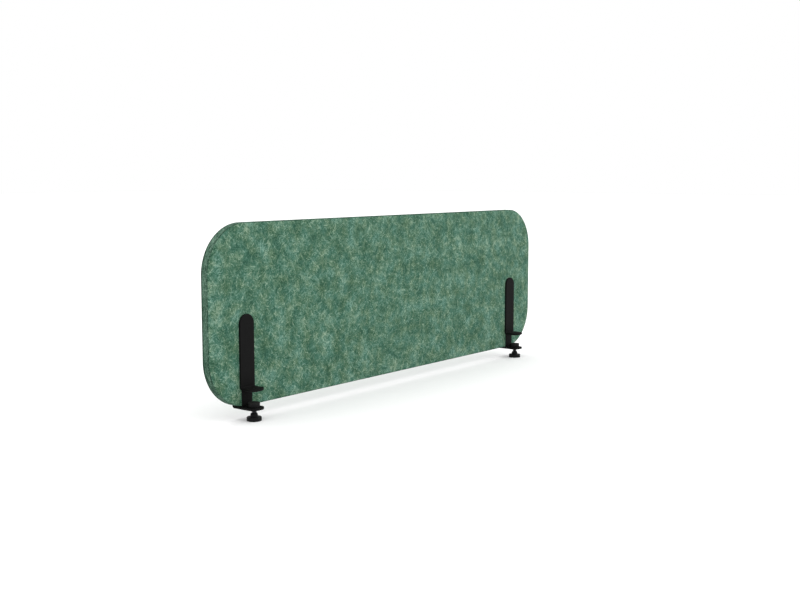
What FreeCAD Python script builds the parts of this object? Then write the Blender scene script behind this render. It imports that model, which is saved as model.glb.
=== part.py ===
import FreeCAD, Part
import os

import Sketcher

# Desk privacy panel: a felt board with round corners, carried by two clamps on the rear edge of a desk.
#
# Frame, in millimetres: X runs along the board, Y from the desk towards the rear of the board, Z up.
# The origin is on the desk: midway between the clamps, where the desk's rear edge meets its top.

SIZES = [
    ("panel_length", 1600, "felt board, end to end"),
    ("panel_height", 500, "felt board, bottom to top"),
    ("panel_thickness", 24, "felt board, front to rear"),
    ("corner_radius", 137, "round corners of the board"),
    ("board_softening", 2, "rounding of the board's edges"),
    ("panel_drop", 45, "board's bottom below the desk top"),
    ("clamp_inset", 136, "board's end to the middle of a clamp"),
    ("plate_width", 52, "both steel plates of a clamp"),
    ("plate_thickness", 6, "both steel plates of a clamp"),
    ("plate_softening", 0.8, "rounding of the plates' edges"),
    ("upright_rise", 208, "desk top to the round top of the uprights"),
    ("jaw_reach", 52, "board's front face to the nose of the upper jaw"),
    ("foot_reach", 52, "board's front face to the nose of the foot plate"),
    ("nose_radius", 21, "round corners of the jaw and the foot plate"),
    ("jaw_bend", 2, "inner radius of the bend into the jaw"),
    ("foot_bend", 1.5, "inner radius of the bend into the foot plate"),
    ("stem_width", 38, "strap between the foot plate and the jaw"),
    ("stem_thickness", 2, "strap between the foot plate and the jaw"),
    ("stem_lap", 5, "how far the strap rises behind the jaw's bend"),
    ("liner_thickness", 2, "rubber under the jaw"),
    ("liner_inset", 4, "rubber's edge to the jaw's edge"),
    ("fixing_low", 40, "desk top to the lower fixing"),
    ("shank_radius", 3, "fixing screw"),
    ("shank_play", 0.3, "plate, washer and sleeve around the fixing screw"),
    ("sleeve_wall", 1.7, "spacer sleeve in the board"),
    ("sleeve_play", 0.2, "board's hole around the sleeve"),
    ("head_overhang", 2.25, "fixing screw's head, out from its shank"),
    ("head_height", 3.3, "fixing screw's head"),
    ("socket_width", 4, "hexagon socket, across the flats"),
    ("socket_depth", 2, "hexagon socket"),
    ("washer_overhang", 0.75, "washer under the head, out from the head"),
    ("washer_thickness", 1.6, "washer under the head"),
    ("blind_floor", 1.5, "steel left in front of a tapped hole"),
    ("shank_end_gap", 0.5, "end of the fixing screw to the floor of its hole"),
    ("spindle_setback", 25.5, "desk's edge to the axis of the clamp screw"),
    ("spindle_radius", 7, "clamp screw, outside its thread"),
    ("thread_play", 0.25, "bush around the clamp screw"),
    ("bare_thread", 9.75, "foot plate to the knob with the clamp open"),
    ("ball_radius", 4, "ball end of the clamp screw"),
    ("ball_play", 0.2, "pad's socket around the ball"),
    ("neck_radius", 2.6, "neck below the ball"),
    ("tang_step", 2, "clamp screw, in from its thread to its end in the knob"),
    ("tang_length", 14, "end of the clamp screw inside the knob"),
    ("thread_in_hub", 2.5, "full thread inside the knob's hub"),
    ("bush_wall", 2.25, "bush, where it is pressed into the foot plate"),
    ("flange_width", 2, "bush's flange, out from the bush"),
    ("flange_thickness", 1.5, "bush's flange on the foot plate"),
    ("pad_radius", 16.5, "pressure pad"),
    ("pad_height", 10.5, "pressure pad without its facing"),
    ("pad_gap", 0.5, "foot plate to the pad with the clamp open"),
    ("facing_thickness", 2, "rubber on the pad"),
    ("flange_play", 1, "pad's recess around and over the bush's flange"),
    ("ball_rise", 4.6, "pad's underside to the centre of the ball"),
    ("knob_radius", 20.5, "knob's grip"),
    ("knob_height", 11.25, "knob's grip"),
    ("knob_rounding", 1.5, "knob's edges"),
    ("hub_wall", 3.2, "knob's hub, out from the clamp screw"),
    ("hub_height", 10.5, "knob's hub above the grip, with its cone"),
    ("cone_height", 3, "cone at the top of the hub"),
    ("cone_top_wall", 0.6, "cone's top edge, out from the clamp screw"),
    ("dish_radius", 14, "hollow under the knob"),
    ("dish_depth", 1.2, "hollow under the knob"),
    ("flute_count", 24, "grip flutes round the knob"),
    ("flute_radius", 1.6, "a grip flute"),
    ("flute_depth", 0.5, "a grip flute"),
]

# Places that several pieces share, worked out from the sizes.
CLAMP_X = "(size.panel_length / 2 - size.clamp_inset)"
BOARD_FRONT = "size.stem_thickness"
BOARD_REAR = "(size.stem_thickness + size.panel_thickness)"
BRACKET_REAR = "(size.stem_thickness + size.panel_thickness + size.plate_thickness)"
WASHER_REAR = f"({BRACKET_REAR} + size.washer_thickness)"
FOOT_TOP = "(-size.panel_drop)"
FOOT_UNDER = "(-size.panel_drop - size.plate_thickness)"
JAW_UNDER = "size.liner_thickness"
JAW_BEND_OUTSIDE = "(size.jaw_bend + size.plate_thickness)"
FIXING_BORE = "(size.shank_radius + size.shank_play)"
SLEEVE_RADIUS = f"({FIXING_BORE} + size.sleeve_wall)"
HEAD_RADIUS = "(size.shank_radius + size.head_overhang)"
FIXING_HEIGHTS = ("size.fixing_low", "(size.upright_rise - size.plate_width / 2)")
TAPPED_FLOOR = "(size.stem_thickness - size.plate_thickness + size.blind_floor)"
SPINDLE_Y = "(-size.spindle_setback)"
BUSH_BORE = "(size.spindle_radius + size.thread_play)"
BUSH_RADIUS = f"({BUSH_BORE} + size.bush_wall)"
FLANGE_RADIUS = f"({BUSH_RADIUS} + size.flange_width)"
TANG_RADIUS = "(size.spindle_radius - size.tang_step)"
HUB_RADIUS = "(size.spindle_radius + size.hub_wall)"
PAD_BOTTOM = f"({FOOT_TOP} + size.pad_gap)"
PAD_TOP = f"({PAD_BOTTOM} + size.pad_height)"
RECESS_TOP = f"({FOOT_TOP} + size.flange_thickness + size.flange_play)"
BALL_CENTRE = f"({PAD_BOTTOM} + size.ball_rise)"
HUB_TOP = f"({FOOT_UNDER} - size.bare_thread)"
GRIP_TOP = f"({HUB_TOP} - size.hub_height)"
GRIP_BOTTOM = f"({GRIP_TOP} - size.knob_height)"
THREAD_END = f"({HUB_TOP} - size.thread_in_hub)"
TANG_END = f"({THREAD_END} - size.tang_length)"

doc = FreeCAD.newDocument("desk_privacy_panel")
size = doc.addObject("Spreadsheet::Sheet", "size")
for row, (alias, number, meaning) in enumerate(SIZES, start=1):
    size.set(f"A{row}", alias)
    size.set(f"B{row}", str(number))
    size.set(f"C{row}", meaning)
    size.setAlias(f"B{row}", alias)
doc.recompute()


def number_of(expression):
    """The value of an expression, now."""
    return float(size.evalExpression(expression))


# ---------------------------------------------------------------- bodies, sketches and features

def new_body(label, x="0", y="0"):
    """A body with its label, shifted along X and Y by two expressions."""
    body = doc.addObject("PartDesign::Body", label)
    body.Label = label
    body.AllowCompound = True
    body.setExpression("Placement.Base.x", x)
    body.setExpression("Placement.Base.y", y)
    return body


def origin_plane(body, role):
    for feature in body.Origin.OriginFeatures:
        if feature.Role == role:
            return feature
    raise RuntimeError(f"{body.Label} has no {role}")


def new_sketch(body, name, role, level="0"):
    """An empty sketch on a plane of the body, at a level along the axis that the plane faces."""
    sketch = body.newObject("Sketcher::SketchObject", f"{body.Label}_{name}")
    sketch.AttachmentSupport = (origin_plane(body, role), [""])
    sketch.MapMode = "FlatFace"
    along_normal = f"-({level})" if role == "XZ_Plane" else level
    sketch.setExpression("AttachmentOffset.Base.z", along_normal)
    return sketch


def pin_point(sketch, edge, end, u=None, v=None):
    """Ties one point of a sketch to its two coordinates, each an expression or left free."""
    for kind, axis, expression in (("DistanceX", -2, u), ("DistanceY", -1, v)):
        if expression is None:
            continue
        if expression == "0":
            sketch.addConstraint(Sketcher.Constraint("PointOnObject", edge, end, axis))
            continue
        start = number_of(expression)
        index = sketch.addConstraint(Sketcher.Constraint(kind, -1, 1, edge, end, start))
        sketch.setExpression(f"Constraints[{index}]", expression)


def draw_outline(sketch, corners):
    """A closed outline. A corner is (u, v), or (u, v, centre_u, centre_v, turn) where an arc leaves it."""
    places = [FreeCAD.Vector(number_of(c[0]), number_of(c[1]), 0) for c in corners]
    edges = []
    for i, corner in enumerate(corners):
        start = places[i]
        end = places[(i + 1) % len(corners)]
        if len(corner) == 2:
            edges.append((sketch.addGeometry(Part.LineSegment(start, end)), 1, 2))
            continue
        centre = FreeCAD.Vector(number_of(corner[2]), number_of(corner[3]), 0)
        circle = Part.Circle(centre, FreeCAD.Vector(0, 0, 1), (start - centre).Length)
        first, last = (start, end) if corner[4] == "left" else (end, start)
        arc = Part.ArcOfCircle(circle, circle.parameter(first), circle.parameter(last))
        ends = (1, 2) if corner[4] == "left" else (2, 1)
        edges.append((sketch.addGeometry(arc), *ends))
    for i, corner in enumerate(corners):
        edge, start_end, far_end = edges[i]
        before = edges[i - 1]
        sketch.addConstraint(Sketcher.Constraint("Coincident", before[0], before[2], edge, start_end))
        if len(corner) == 5:
            pin_point(sketch, edge, 3, corner[2], corner[3])
        arc_before = corners[i - 1] if len(corners[i - 1]) == 5 else None
        if arc_before is None:
            pin_point(sketch, edge, start_end, corner[0], corner[1])
            continue
        # the arc's radius is known, so its end needs only the coordinate that changes along it
        spoke = places[i] - FreeCAD.Vector(number_of(arc_before[2]), number_of(arc_before[3]), 0)
        if abs(spoke.x) > abs(spoke.y):
            pin_point(sketch, edge, start_end, v=corner[1])
        else:
            pin_point(sketch, edge, start_end, u=corner[0])


def draw_circle(sketch, u, v, radius):
    centre = FreeCAD.Vector(number_of(u), number_of(v), 0)
    edge = sketch.addGeometry(Part.Circle(centre, FreeCAD.Vector(0, 0, 1), number_of(radius)))
    pin_point(sketch, edge, 3, u, v)
    index = sketch.addConstraint(Sketcher.Constraint("Radius", edge, number_of(radius)))
    sketch.setExpression(f"Constraints[{index}]", radius)


def draw_box(sketch, u_low, v_low, u_high, v_high):
    draw_outline(sketch, [(u_low, v_low), (u_high, v_low), (u_high, v_high), (u_low, v_high)])


def draw_hexagon(sketch, u, v, flats):
    """A hexagon with two corners along the sketch's first axis."""
    half_side = f"({flats}) * tan(30 deg) / 2"
    half_flats = f"({flats}) / 2"
    draw_outline(sketch, [
        (f"{u} + 2 * {half_side}", v),
        (f"{u} + {half_side}", f"{v} + {half_flats}"),
        (f"{u} - {half_side}", f"{v} + {half_flats}"),
        (f"{u} - 2 * {half_side}", v),
        (f"{u} - {half_side}", f"{v} - {half_flats}"),
        (f"{u} + {half_side}", f"{v} - {half_flats}"),
    ])


def pad(body, sketch, name, length, reverse=False, symmetric=False):
    feature = body.newObject("PartDesign::Pad", f"{body.Label}_{name}")
    feature.Profile = sketch
    feature.SideType = "Symmetric" if symmetric else "One side"
    feature.setExpression("Length", length)
    feature.Reversed = reverse
    sketch.Visibility = False
    doc.recompute()
    return feature


def cut_changes(body, feature, before):
    """Recomputes and makes sure that a cut took material away."""
    doc.recompute()
    if not feature.Shape.Volume < before - 1e-6:
        raise RuntimeError(f"{feature.Name} cuts nothing")
    return feature


def pocket(body, sketch, name, depth=None, reverse=False):
    """Cuts a sketch through all the body both ways, or to a depth on one side."""
    before = body.Shape.Volume
    feature = body.newObject("PartDesign::Pocket", f"{body.Label}_{name}")
    feature.Profile = sketch
    feature.Reversed = reverse
    if depth is None:
        feature.Type = "ThroughAll"
        feature.SideType = "Symmetric"
    else:
        feature.setExpression("Length", depth)
    sketch.Visibility = False
    return cut_changes(body, feature, before)


def revolve(body, sketch, name):
    feature = body.newObject("PartDesign::Revolution", f"{body.Label}_{name}")
    feature.Profile = sketch
    feature.ReferenceAxis = (sketch, ["V_Axis"])
    feature.Angle = 360
    sketch.Visibility = False
    doc.recompute()
    return feature


def ball(body, kind, name, radius, height):
    """Adds or takes away a ball on the body's own Z axis."""
    before = body.Shape.Volume
    feature = body.newObject(f"PartDesign::{kind}Sphere", f"{body.Label}_{name}")
    feature.AttachmentSupport = (origin_plane(body, "XY_Plane"), [""])
    feature.MapMode = "FlatFace"
    feature.setExpression("AttachmentOffset.Base.z", height)
    feature.setExpression("Radius", radius)
    if kind == "Subtractive":
        return cut_changes(body, feature, before)
    doc.recompute()
    return feature


def fillet(body, base, name, radius, chosen):
    """Rounds the edges of a feature that a test chooses."""
    names = [f"Edge{i}" for i, edge in enumerate(base.Shape.Edges, start=1) if chosen(edge)]
    if not names:
        raise RuntimeError(f"{body.Label}_{name} finds no edge")
    feature = body.newObject("PartDesign::Fillet", f"{body.Label}_{name}")
    feature.Base = (base, names)
    feature.setExpression("Radius", radius)
    doc.recompute()
    return feature


def runs_along(edge, axis):
    """True for a straight edge that is parallel to an axis."""
    if not isinstance(edge.Curve, Part.Line):
        return False
    return abs(edge.Curve.Direction.dot(axis)) > 0.9999


def lies_at(value, target):
    return abs(value - target) < 0.01


AXIS_Y = FreeCAD.Vector(0, 1, 0)
AXIS_Z = FreeCAD.Vector(0, 0, 1)


# ---------------------------------------------------------------- the board

def felt_board():
    """The board stands in both clamps, and a hole takes each spacer sleeve."""
    body = new_body("felt_panel")
    sketch = new_sketch(body, "outline", "XZ_Plane", BOARD_FRONT)
    half = "size.panel_length / 2"
    draw_box(sketch, f"-{half}", FOOT_TOP, half, f"{FOOT_TOP} + size.panel_height")
    board = pad(body, sketch, "board", "size.panel_thickness", reverse=True)
    rounded = fillet(body, board, "corners", "size.corner_radius", lambda e: runs_along(e, AXIS_Y))
    faces = (number_of(BOARD_FRONT), number_of(BOARD_REAR))
    softened = fillet(
        body, rounded, "edges", "size.board_softening",
        lambda e: any(lies_at(e.BoundBox.YMin, y) and lies_at(e.BoundBox.YMax, y) for y in faces),
    )
    holes = new_sketch(body, "sleeve_places", "XZ_Plane", BOARD_FRONT)
    for side in ("-", ""):
        for height in FIXING_HEIGHTS:
            draw_circle(holes, f"{side}{CLAMP_X}", height, f"{SLEEVE_RADIUS} + size.sleeve_play")
    pocket(body, holes, "sleeve_holes")
    return body


# ---------------------------------------------------------------- steel plates of a clamp

def bent_plate(body, back, underside, nose, bend):
    """An upright with a round top, bent forward at its foot into a leg with a round nose."""
    front = f"({back} - size.plate_thickness)"
    leg_top = f"({underside} + size.plate_thickness)"
    bend_y = f"({back} - size.plate_thickness - {bend})"
    bend_z = f"({underside} + size.plate_thickness + {bend})"
    side = new_sketch(body, "side", "YZ_Plane")
    draw_outline(side, [
        (back, "size.upright_rise"),
        (front, "size.upright_rise"),
        (front, bend_z, bend_y, bend_z, "right"),
        (bend_y, leg_top),
        (nose, leg_top),
        (nose, underside),
        (bend_y, underside, bend_y, bend_z, "left"),
        (back, bend_z),
    ])
    sheet_metal = pad(body, side, "sheet", "size.plate_width", symmetric=True)

    # the round top is what a half circle leaves of the upright
    top = new_sketch(body, "top", "XZ_Plane", back)
    half = "size.plate_width / 2"
    outside = f"({half} + size.nose_radius)"
    centre_z = f"(size.upright_rise - {half})"
    draw_outline(top, [
        (half, centre_z, "0", centre_z, "left"),
        (f"-{half}", centre_z),
        (f"-{outside}", centre_z),
        (f"-{outside}", f"size.upright_rise + {half}"),
        (outside, f"size.upright_rise + {half}"),
        (outside, centre_z),
    ])
    round_top = pocket(body, top, "round_top")

    nose_y = number_of(nose)
    round_nose = fillet(
        body, round_top, "round_nose", "size.nose_radius",
        lambda e: runs_along(e, AXIS_Z) and lies_at(e.CenterOfMass.y, nose_y),
    )

    # every edge between the rim and the two skins of the plate is softened
    rim = [face for face in round_nose.Shape.Faces if is_rim(face, nose_y)]
    softened = fillet(body, round_nose, "softened", "size.plate_softening",
                      lambda e: sum(has_edge(face, e) for face in rim) == 1)
    return softened


def is_rim(face, nose_y):
    """True for the faces across the thickness: the two sides, the round top and the round nose."""
    surface = face.Surface
    if isinstance(surface, Part.Cylinder):
        return abs(surface.Axis.x) < 0.5
    sideways = abs(surface.Axis.x) > 0.5
    return sideways or lies_at(face.BoundBox.YMax, nose_y)


def has_edge(face, edge):
    return any(edge.isSame(own) for own in face.Edges)


def front_jaw(side, x):
    """Front plate. Its fixings go into blind tapped holes, so nothing shows on its face."""
    body = new_body(f"{side}_front_jaw", x)
    nose = f"({BOARD_FRONT} - size.jaw_reach)"
    bent_plate(body, BOARD_FRONT, JAW_UNDER, nose, "size.jaw_bend")
    tapped = new_sketch(body, "tapped", "XZ_Plane", BOARD_FRONT)
    for height in FIXING_HEIGHTS:
        draw_circle(tapped, "0", height, "size.shank_radius")
    pocket(body, tapped, "tapped_holes", "size.plate_thickness - size.blind_floor", reverse=True)
    return body


def rear_bracket(side, x):
    """Rear plate. Its foot passes under the board and carries the clamp screw."""
    body = new_body(f"{side}_rear_bracket", x)
    nose = f"({BOARD_FRONT} - size.foot_reach)"
    bent_plate(body, BRACKET_REAR, FOOT_UNDER, nose, "size.foot_bend")
    fixings = new_sketch(body, "fixings", "XZ_Plane", BRACKET_REAR)
    for height in FIXING_HEIGHTS:
        draw_circle(fixings, "0", height, FIXING_BORE)
    pocket(body, fixings, "fixing_holes")
    bush = new_sketch(body, "bush", "XY_Plane", FOOT_TOP)
    draw_circle(bush, "0", SPINDLE_Y, BUSH_RADIUS)
    pocket(body, bush, "bush_hole")
    return body


def stem(side, x):
    """Strap that is welded to the foot plate and, at its top, into the hollow behind the jaw's bend."""
    body = new_body(f"{side}_stem", x)
    outline = new_sketch(body, "outline", "XZ_Plane", "0")
    half = "size.stem_width / 2"
    draw_box(outline, f"-{half}", FOOT_TOP, half, f"{JAW_UNDER} + size.stem_lap")
    pad(body, outline, "strap", "size.stem_thickness", reverse=True)
    bend = new_sketch(body, "bend", "YZ_Plane")
    draw_circle(bend, f"{BOARD_FRONT} - {JAW_BEND_OUTSIDE}", f"{JAW_UNDER} + {JAW_BEND_OUTSIDE}",
                JAW_BEND_OUTSIDE)
    pocket(body, bend, "bend_seat")
    return body


def jaw_liner(side, x):
    """Rubber on the flat of the jaw's underside."""
    body = new_body(f"{side}_jaw_liner", x)
    outline = new_sketch(body, "outline", "XY_Plane")
    half = "(size.plate_width / 2 - size.liner_inset)"
    nose = f"({BOARD_FRONT} - size.jaw_reach + size.liner_inset)"
    draw_box(outline, f"-{half}", nose, half, f"{BOARD_FRONT} - {JAW_BEND_OUTSIDE}")
    sheet_rubber = pad(body, outline, "rubber", "size.liner_thickness")
    nose_y = number_of(nose)
    fillet(body, sheet_rubber, "round_nose", "size.nose_radius - size.liner_inset",
           lambda e: runs_along(e, AXIS_Z) and lies_at(e.CenterOfMass.y, nose_y))
    return body


# ---------------------------------------------------------------- fixings through the board

def ring_group(label, x, level, thickness, outer, inner):
    """A ring on each fixing axis, from a level towards the rear."""
    body = new_body(label, x)
    rings = new_sketch(body, "rings", "XZ_Plane", level)
    for height in FIXING_HEIGHTS:
        draw_circle(rings, "0", height, outer)
        draw_circle(rings, "0", height, inner)
    pad(body, rings, "rings_pad", thickness, reverse=True)
    return body


def spacer_sleeves(side, x):
    """Tubes that keep the two plates apart, so that the screws can't crush the felt."""
    return ring_group(f"{side}_spacer_sleeves", x, BOARD_FRONT, "size.panel_thickness",
                      SLEEVE_RADIUS, FIXING_BORE)


def fixing_washers(side, x):
    return ring_group(f"{side}_fixing_washers", x, BRACKET_REAR, "size.washer_thickness",
                      f"{HEAD_RADIUS} + size.washer_overhang", FIXING_BORE)


def fixing_screws(side, x):
    """Button-head screws from the rear, one on each fixing axis."""
    body = new_body(f"{side}_fixing_screws", x)
    tip = f"({TAPPED_FLOOR} + size.shank_end_gap)"
    shanks = new_sketch(body, "shanks", "XZ_Plane", tip)
    heads = new_sketch(body, "heads", "XZ_Plane", WASHER_REAR)
    crown = f"({WASHER_REAR} + size.head_height)"
    sockets = new_sketch(body, "sockets", "XZ_Plane", crown)
    for height in FIXING_HEIGHTS:
        draw_circle(shanks, "0", height, "size.shank_radius")
        draw_circle(heads, "0", height, HEAD_RADIUS)
        draw_hexagon(sockets, "0", height, "size.socket_width")
    pad(body, shanks, "shank", f"{WASHER_REAR} - {tip}", reverse=True)
    head = pad(body, heads, "head", "size.head_height", reverse=True)
    crown_y = number_of(crown)
    fillet(body, head, "dome", "size.head_height * 0.75",
           lambda e: lies_at(e.BoundBox.YMin, crown_y))
    pocket(body, sockets, "hexagon", "size.socket_depth", reverse=True)
    return body


# ---------------------------------------------------------------- clamp screw, knob and pad

def threaded_bush(side, x):
    """Nut of the clamp screw. Its flange lies on the foot plate, because the screw pulls it down."""
    body = new_body(f"{side}_threaded_bush", x, SPINDLE_Y)
    section = new_sketch(body, "section", "XZ_Plane")
    draw_outline(section, [
        (BUSH_BORE, FOOT_UNDER),
        (BUSH_RADIUS, FOOT_UNDER),
        (BUSH_RADIUS, FOOT_TOP),
        (FLANGE_RADIUS, FOOT_TOP),
        (FLANGE_RADIUS, f"{FOOT_TOP} + size.flange_thickness"),
        (BUSH_BORE, f"{FOOT_TOP} + size.flange_thickness"),
    ])
    revolve(body, section, "turned")
    return body


def clamp_spindle(side, x):
    """Clamp screw: a tang in the knob, the threaded length, a neck, and a ball in the pad."""
    body = new_body(f"{side}_clamp_spindle", x, SPINDLE_Y)
    section = new_sketch(body, "section", "XZ_Plane")
    thread_top = f"({FOOT_TOP} + size.flange_thickness + size.flange_play / 2)"
    draw_outline(section, [
        ("0", TANG_END),
        (TANG_RADIUS, TANG_END),
        (TANG_RADIUS, THREAD_END),
        ("size.spindle_radius", THREAD_END),
        ("size.spindle_radius", thread_top),
        ("size.neck_radius", thread_top),
        ("size.neck_radius", BALL_CENTRE),
        ("0", BALL_CENTRE),
    ])
    revolve(body, section, "turned")
    ball(body, "Additive", "ball", "size.ball_radius", BALL_CENTRE)
    return body


def clamp_knob(side, x):
    """Moulded knob: a fluted grip, and a hub with a cone that runs up to the bare thread."""
    body = new_body(f"{side}_clamp_knob", x, SPINDLE_Y)
    section = new_sketch(body, "section", "XZ_Plane")
    dish_top = f"({GRIP_BOTTOM} + size.dish_depth)"
    cone_foot = f"({HUB_TOP} - size.cone_height)"
    draw_outline(section, [
        ("0", dish_top),
        ("size.dish_radius", dish_top),
        ("size.dish_radius", GRIP_BOTTOM),
        ("size.knob_radius", GRIP_BOTTOM),
        ("size.knob_radius", GRIP_TOP),
        (HUB_RADIUS, GRIP_TOP),
        (HUB_RADIUS, cone_foot),
        ("size.spindle_radius + size.cone_top_wall", HUB_TOP),
        ("size.spindle_radius", HUB_TOP),
        ("size.spindle_radius", THREAD_END),
        (TANG_RADIUS, THREAD_END),
        (TANG_RADIUS, TANG_END),
        ("0", TANG_END),
    ])
    turned = revolve(body, section, "moulded")
    rims = (number_of(GRIP_BOTTOM), number_of(GRIP_TOP))
    grip = number_of("size.knob_radius")
    rounded = fillet(
        body, turned, "rounded", "size.knob_rounding",
        lambda e: any(lies_at(e.BoundBox.ZMin, z) for z in rims) and lies_at(e.BoundBox.XMax, grip),
    )
    flute = new_sketch(body, "flute", "XY_Plane", GRIP_BOTTOM)
    draw_circle(flute, "size.knob_radius + size.flute_radius - size.flute_depth", "0",
                "size.flute_radius")
    first = pocket(body, flute, "first_flute", "size.knob_height", reverse=True)
    around = body.newObject("PartDesign::PolarPattern", f"{body.Label}_flutes")
    around.Originals = [first]
    around.Axis = (flute, ["N_Axis"])
    around.Angle = 360
    around.setExpression("Occurrences", "size.flute_count")
    body.Tip = around
    cut_changes(body, around, first.Shape.Volume)
    return body


def pressure_pad(side, x):
    """Moulded pad that snaps over the ball. Its underside clears the bush's flange."""
    body = new_body(f"{side}_pressure_pad", x, SPINDLE_Y)
    section = new_sketch(body, "section", "XZ_Plane")
    recess_radius = f"{FLANGE_RADIUS} + size.flange_play"
    draw_outline(section, [
        (recess_radius, PAD_BOTTOM),
        ("size.pad_radius", PAD_BOTTOM),
        ("size.pad_radius", PAD_TOP),
        ("0", PAD_TOP),
        ("0", RECESS_TOP),
        (recess_radius, RECESS_TOP),
    ])
    revolve(body, section, "moulded")
    ball(body, "Subtractive", "socket", "size.ball_radius + size.ball_play", BALL_CENTRE)
    return body


def pad_facing(side, x):
    """Rubber disc bonded on the pad."""
    body = new_body(f"{side}_pad_facing", x, SPINDLE_Y)
    disc = new_sketch(body, "disc", "XY_Plane", PAD_TOP)
    draw_circle(disc, "0", "0", "size.pad_radius")
    rubber = pad(body, disc, "rubber", "size.facing_thickness")
    top = number_of(f"{PAD_TOP} + size.facing_thickness")
    fillet(body, rubber, "rounded", "size.facing_thickness / 2", lambda e: lies_at(e.BoundBox.ZMin, top))
    return body


# ---------------------------------------------------------------- the whole panel

CLAMP_PIECES = (front_jaw, rear_bracket, stem, jaw_liner, spacer_sleeves, fixing_screws, fixing_washers,
                threaded_bush, clamp_spindle, clamp_knob, pressure_pad, pad_facing)

nodes = [felt_board()]
for clamp_side, clamp_x in (("left", f"-{CLAMP_X}"), ("right", CLAMP_X)):
    for make in CLAMP_PIECES:
        nodes.append(make(clamp_side, clamp_x))
doc.recompute()

for item in doc.Objects:
    if "Invalid" in item.State or "Error" in item.State:
        raise RuntimeError(f"{item.Label} failed: {item.State}")
for node in nodes:
    if node.Shape.isNull() or not node.Shape.isValid():
        raise RuntimeError(f"{node.Label} has no valid shape")

os.makedirs("parts", exist_ok=True)
for node in nodes:
    node.Shape.exportStep(f"parts/{node.Label}.step")
    box = node.Shape.BoundBox
    solids = len(node.Shape.Solids)
    print(f"{node.Label:24} {solids} solid(s) {node.Shape.Volume / 1000:10.2f} cm3  "
          f"x {box.XMin:8.2f} {box.XMax:8.2f}  y {box.YMin:7.2f} {box.YMax:7.2f}  "
          f"z {box.ZMin:7.2f} {box.ZMax:7.2f}")
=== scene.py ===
# %% [markdown]
# # A desk privacy panel
# A long board of pressed felt stands on the rear edge of a desk. Two steel clamps carry it.
# The CAD model already holds the sizes and places. This lesson loads that model as a fixed frame,
# asks it for each piece's box, and makes what CAD leaves plain: the soft board, the screw thread, the
# moulded parts, the rubber and all the finishes. A box can't tell the radius of a corner or the depth
# of a socket, so the few sizes of that kind are written down here again.
# Everything is in metres. X runs along the board, Y from the desk to the rear, and Z is up.

# %% Load the frame
import bpy
import math
import numpy as np
import bmesh
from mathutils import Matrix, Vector, noise


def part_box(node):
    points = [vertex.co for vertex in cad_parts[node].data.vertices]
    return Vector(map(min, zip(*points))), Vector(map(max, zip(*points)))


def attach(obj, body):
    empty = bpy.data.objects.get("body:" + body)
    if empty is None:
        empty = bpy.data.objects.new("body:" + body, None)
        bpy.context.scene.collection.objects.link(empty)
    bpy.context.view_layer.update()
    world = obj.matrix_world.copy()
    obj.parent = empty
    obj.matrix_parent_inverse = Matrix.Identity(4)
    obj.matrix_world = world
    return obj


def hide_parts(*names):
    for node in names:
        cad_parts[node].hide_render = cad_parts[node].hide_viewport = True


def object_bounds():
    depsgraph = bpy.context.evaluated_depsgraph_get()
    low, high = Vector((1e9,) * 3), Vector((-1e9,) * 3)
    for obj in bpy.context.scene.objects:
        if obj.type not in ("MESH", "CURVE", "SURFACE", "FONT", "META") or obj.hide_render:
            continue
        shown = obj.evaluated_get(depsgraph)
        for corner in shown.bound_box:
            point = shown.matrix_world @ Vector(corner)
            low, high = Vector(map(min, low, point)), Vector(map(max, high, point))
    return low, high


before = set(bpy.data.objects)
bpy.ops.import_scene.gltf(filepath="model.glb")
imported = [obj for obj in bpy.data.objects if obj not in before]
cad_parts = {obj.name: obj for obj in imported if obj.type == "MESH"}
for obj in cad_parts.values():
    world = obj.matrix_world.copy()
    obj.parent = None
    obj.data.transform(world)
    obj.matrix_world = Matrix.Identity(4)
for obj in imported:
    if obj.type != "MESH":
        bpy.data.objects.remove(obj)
CAD_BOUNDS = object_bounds()
MM = 0.001

# %% [markdown]
# ## The camera
# The view comes first, because it says how large a detail has to be before anyone can see it.
# A camera could be aimed with a Track To constraint. Three plain angles are easier to read back:
# how far it turns from the board's rear direction, how far it looks down, and no roll.

# %% Camera
CAMERA_PLACE = (-2.7330, -2.1388, 0.5831)
CAMERA_TURN = 52.093
CAMERA_DOWN = 6.533
CAMERA_LENS = 49.448

camera = bpy.data.objects.new("camera", bpy.data.cameras.new("camera"))
bpy.context.scene.collection.objects.link(camera)
camera.location = CAMERA_PLACE
camera.rotation_euler = (math.radians(90 - CAMERA_DOWN), 0, math.radians(-CAMERA_TURN))
camera.data.lens = CAMERA_LENS
bpy.context.scene.camera = camera
print("camera", round(Vector(CAMERA_PLACE).length, 2), "m from the desk's edge")

# %% [markdown]
# ## Three helpers for every material
# A web page gives colours as hex, and those numbers are bent for a screen. Light adds up straight,
# so a shader needs them turned back to linear. One function does that and nothing else does.
# Wiring nodes by hand takes three lines each, so a second helper adds a node with its own settings
# and with its inputs, where an input is either a number or the output of another node.
# Patterns are easiest to think of in millimetres, so the third gives an object's own place in them.

# %% Colour, node and material helpers
def linear(hex_colour):
    """An sRGB hex colour as linear red, green, blue and alpha."""
    parts = [int(hex_colour[i:i + 2], 16) / 255 for i in (1, 3, 5)]
    return tuple(p / 12.92 if p <= 0.04045 else ((p + 0.055) / 1.055) ** 2.4 for p in parts) + (1.0,)


def add(tree, kind, inputs=None, **settings):
    """Adds a node. inputs maps a socket's name or number to a value or to another node's output."""
    node = tree.nodes.new(kind)
    for name, value in settings.items():
        setattr(node, name, value)
    for socket, value in (inputs or {}).items():
        if isinstance(value, bpy.types.NodeSocket):
            tree.links.new(value, node.inputs[socket])
        else:
            node.inputs[socket].default_value = value
    return node


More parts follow.
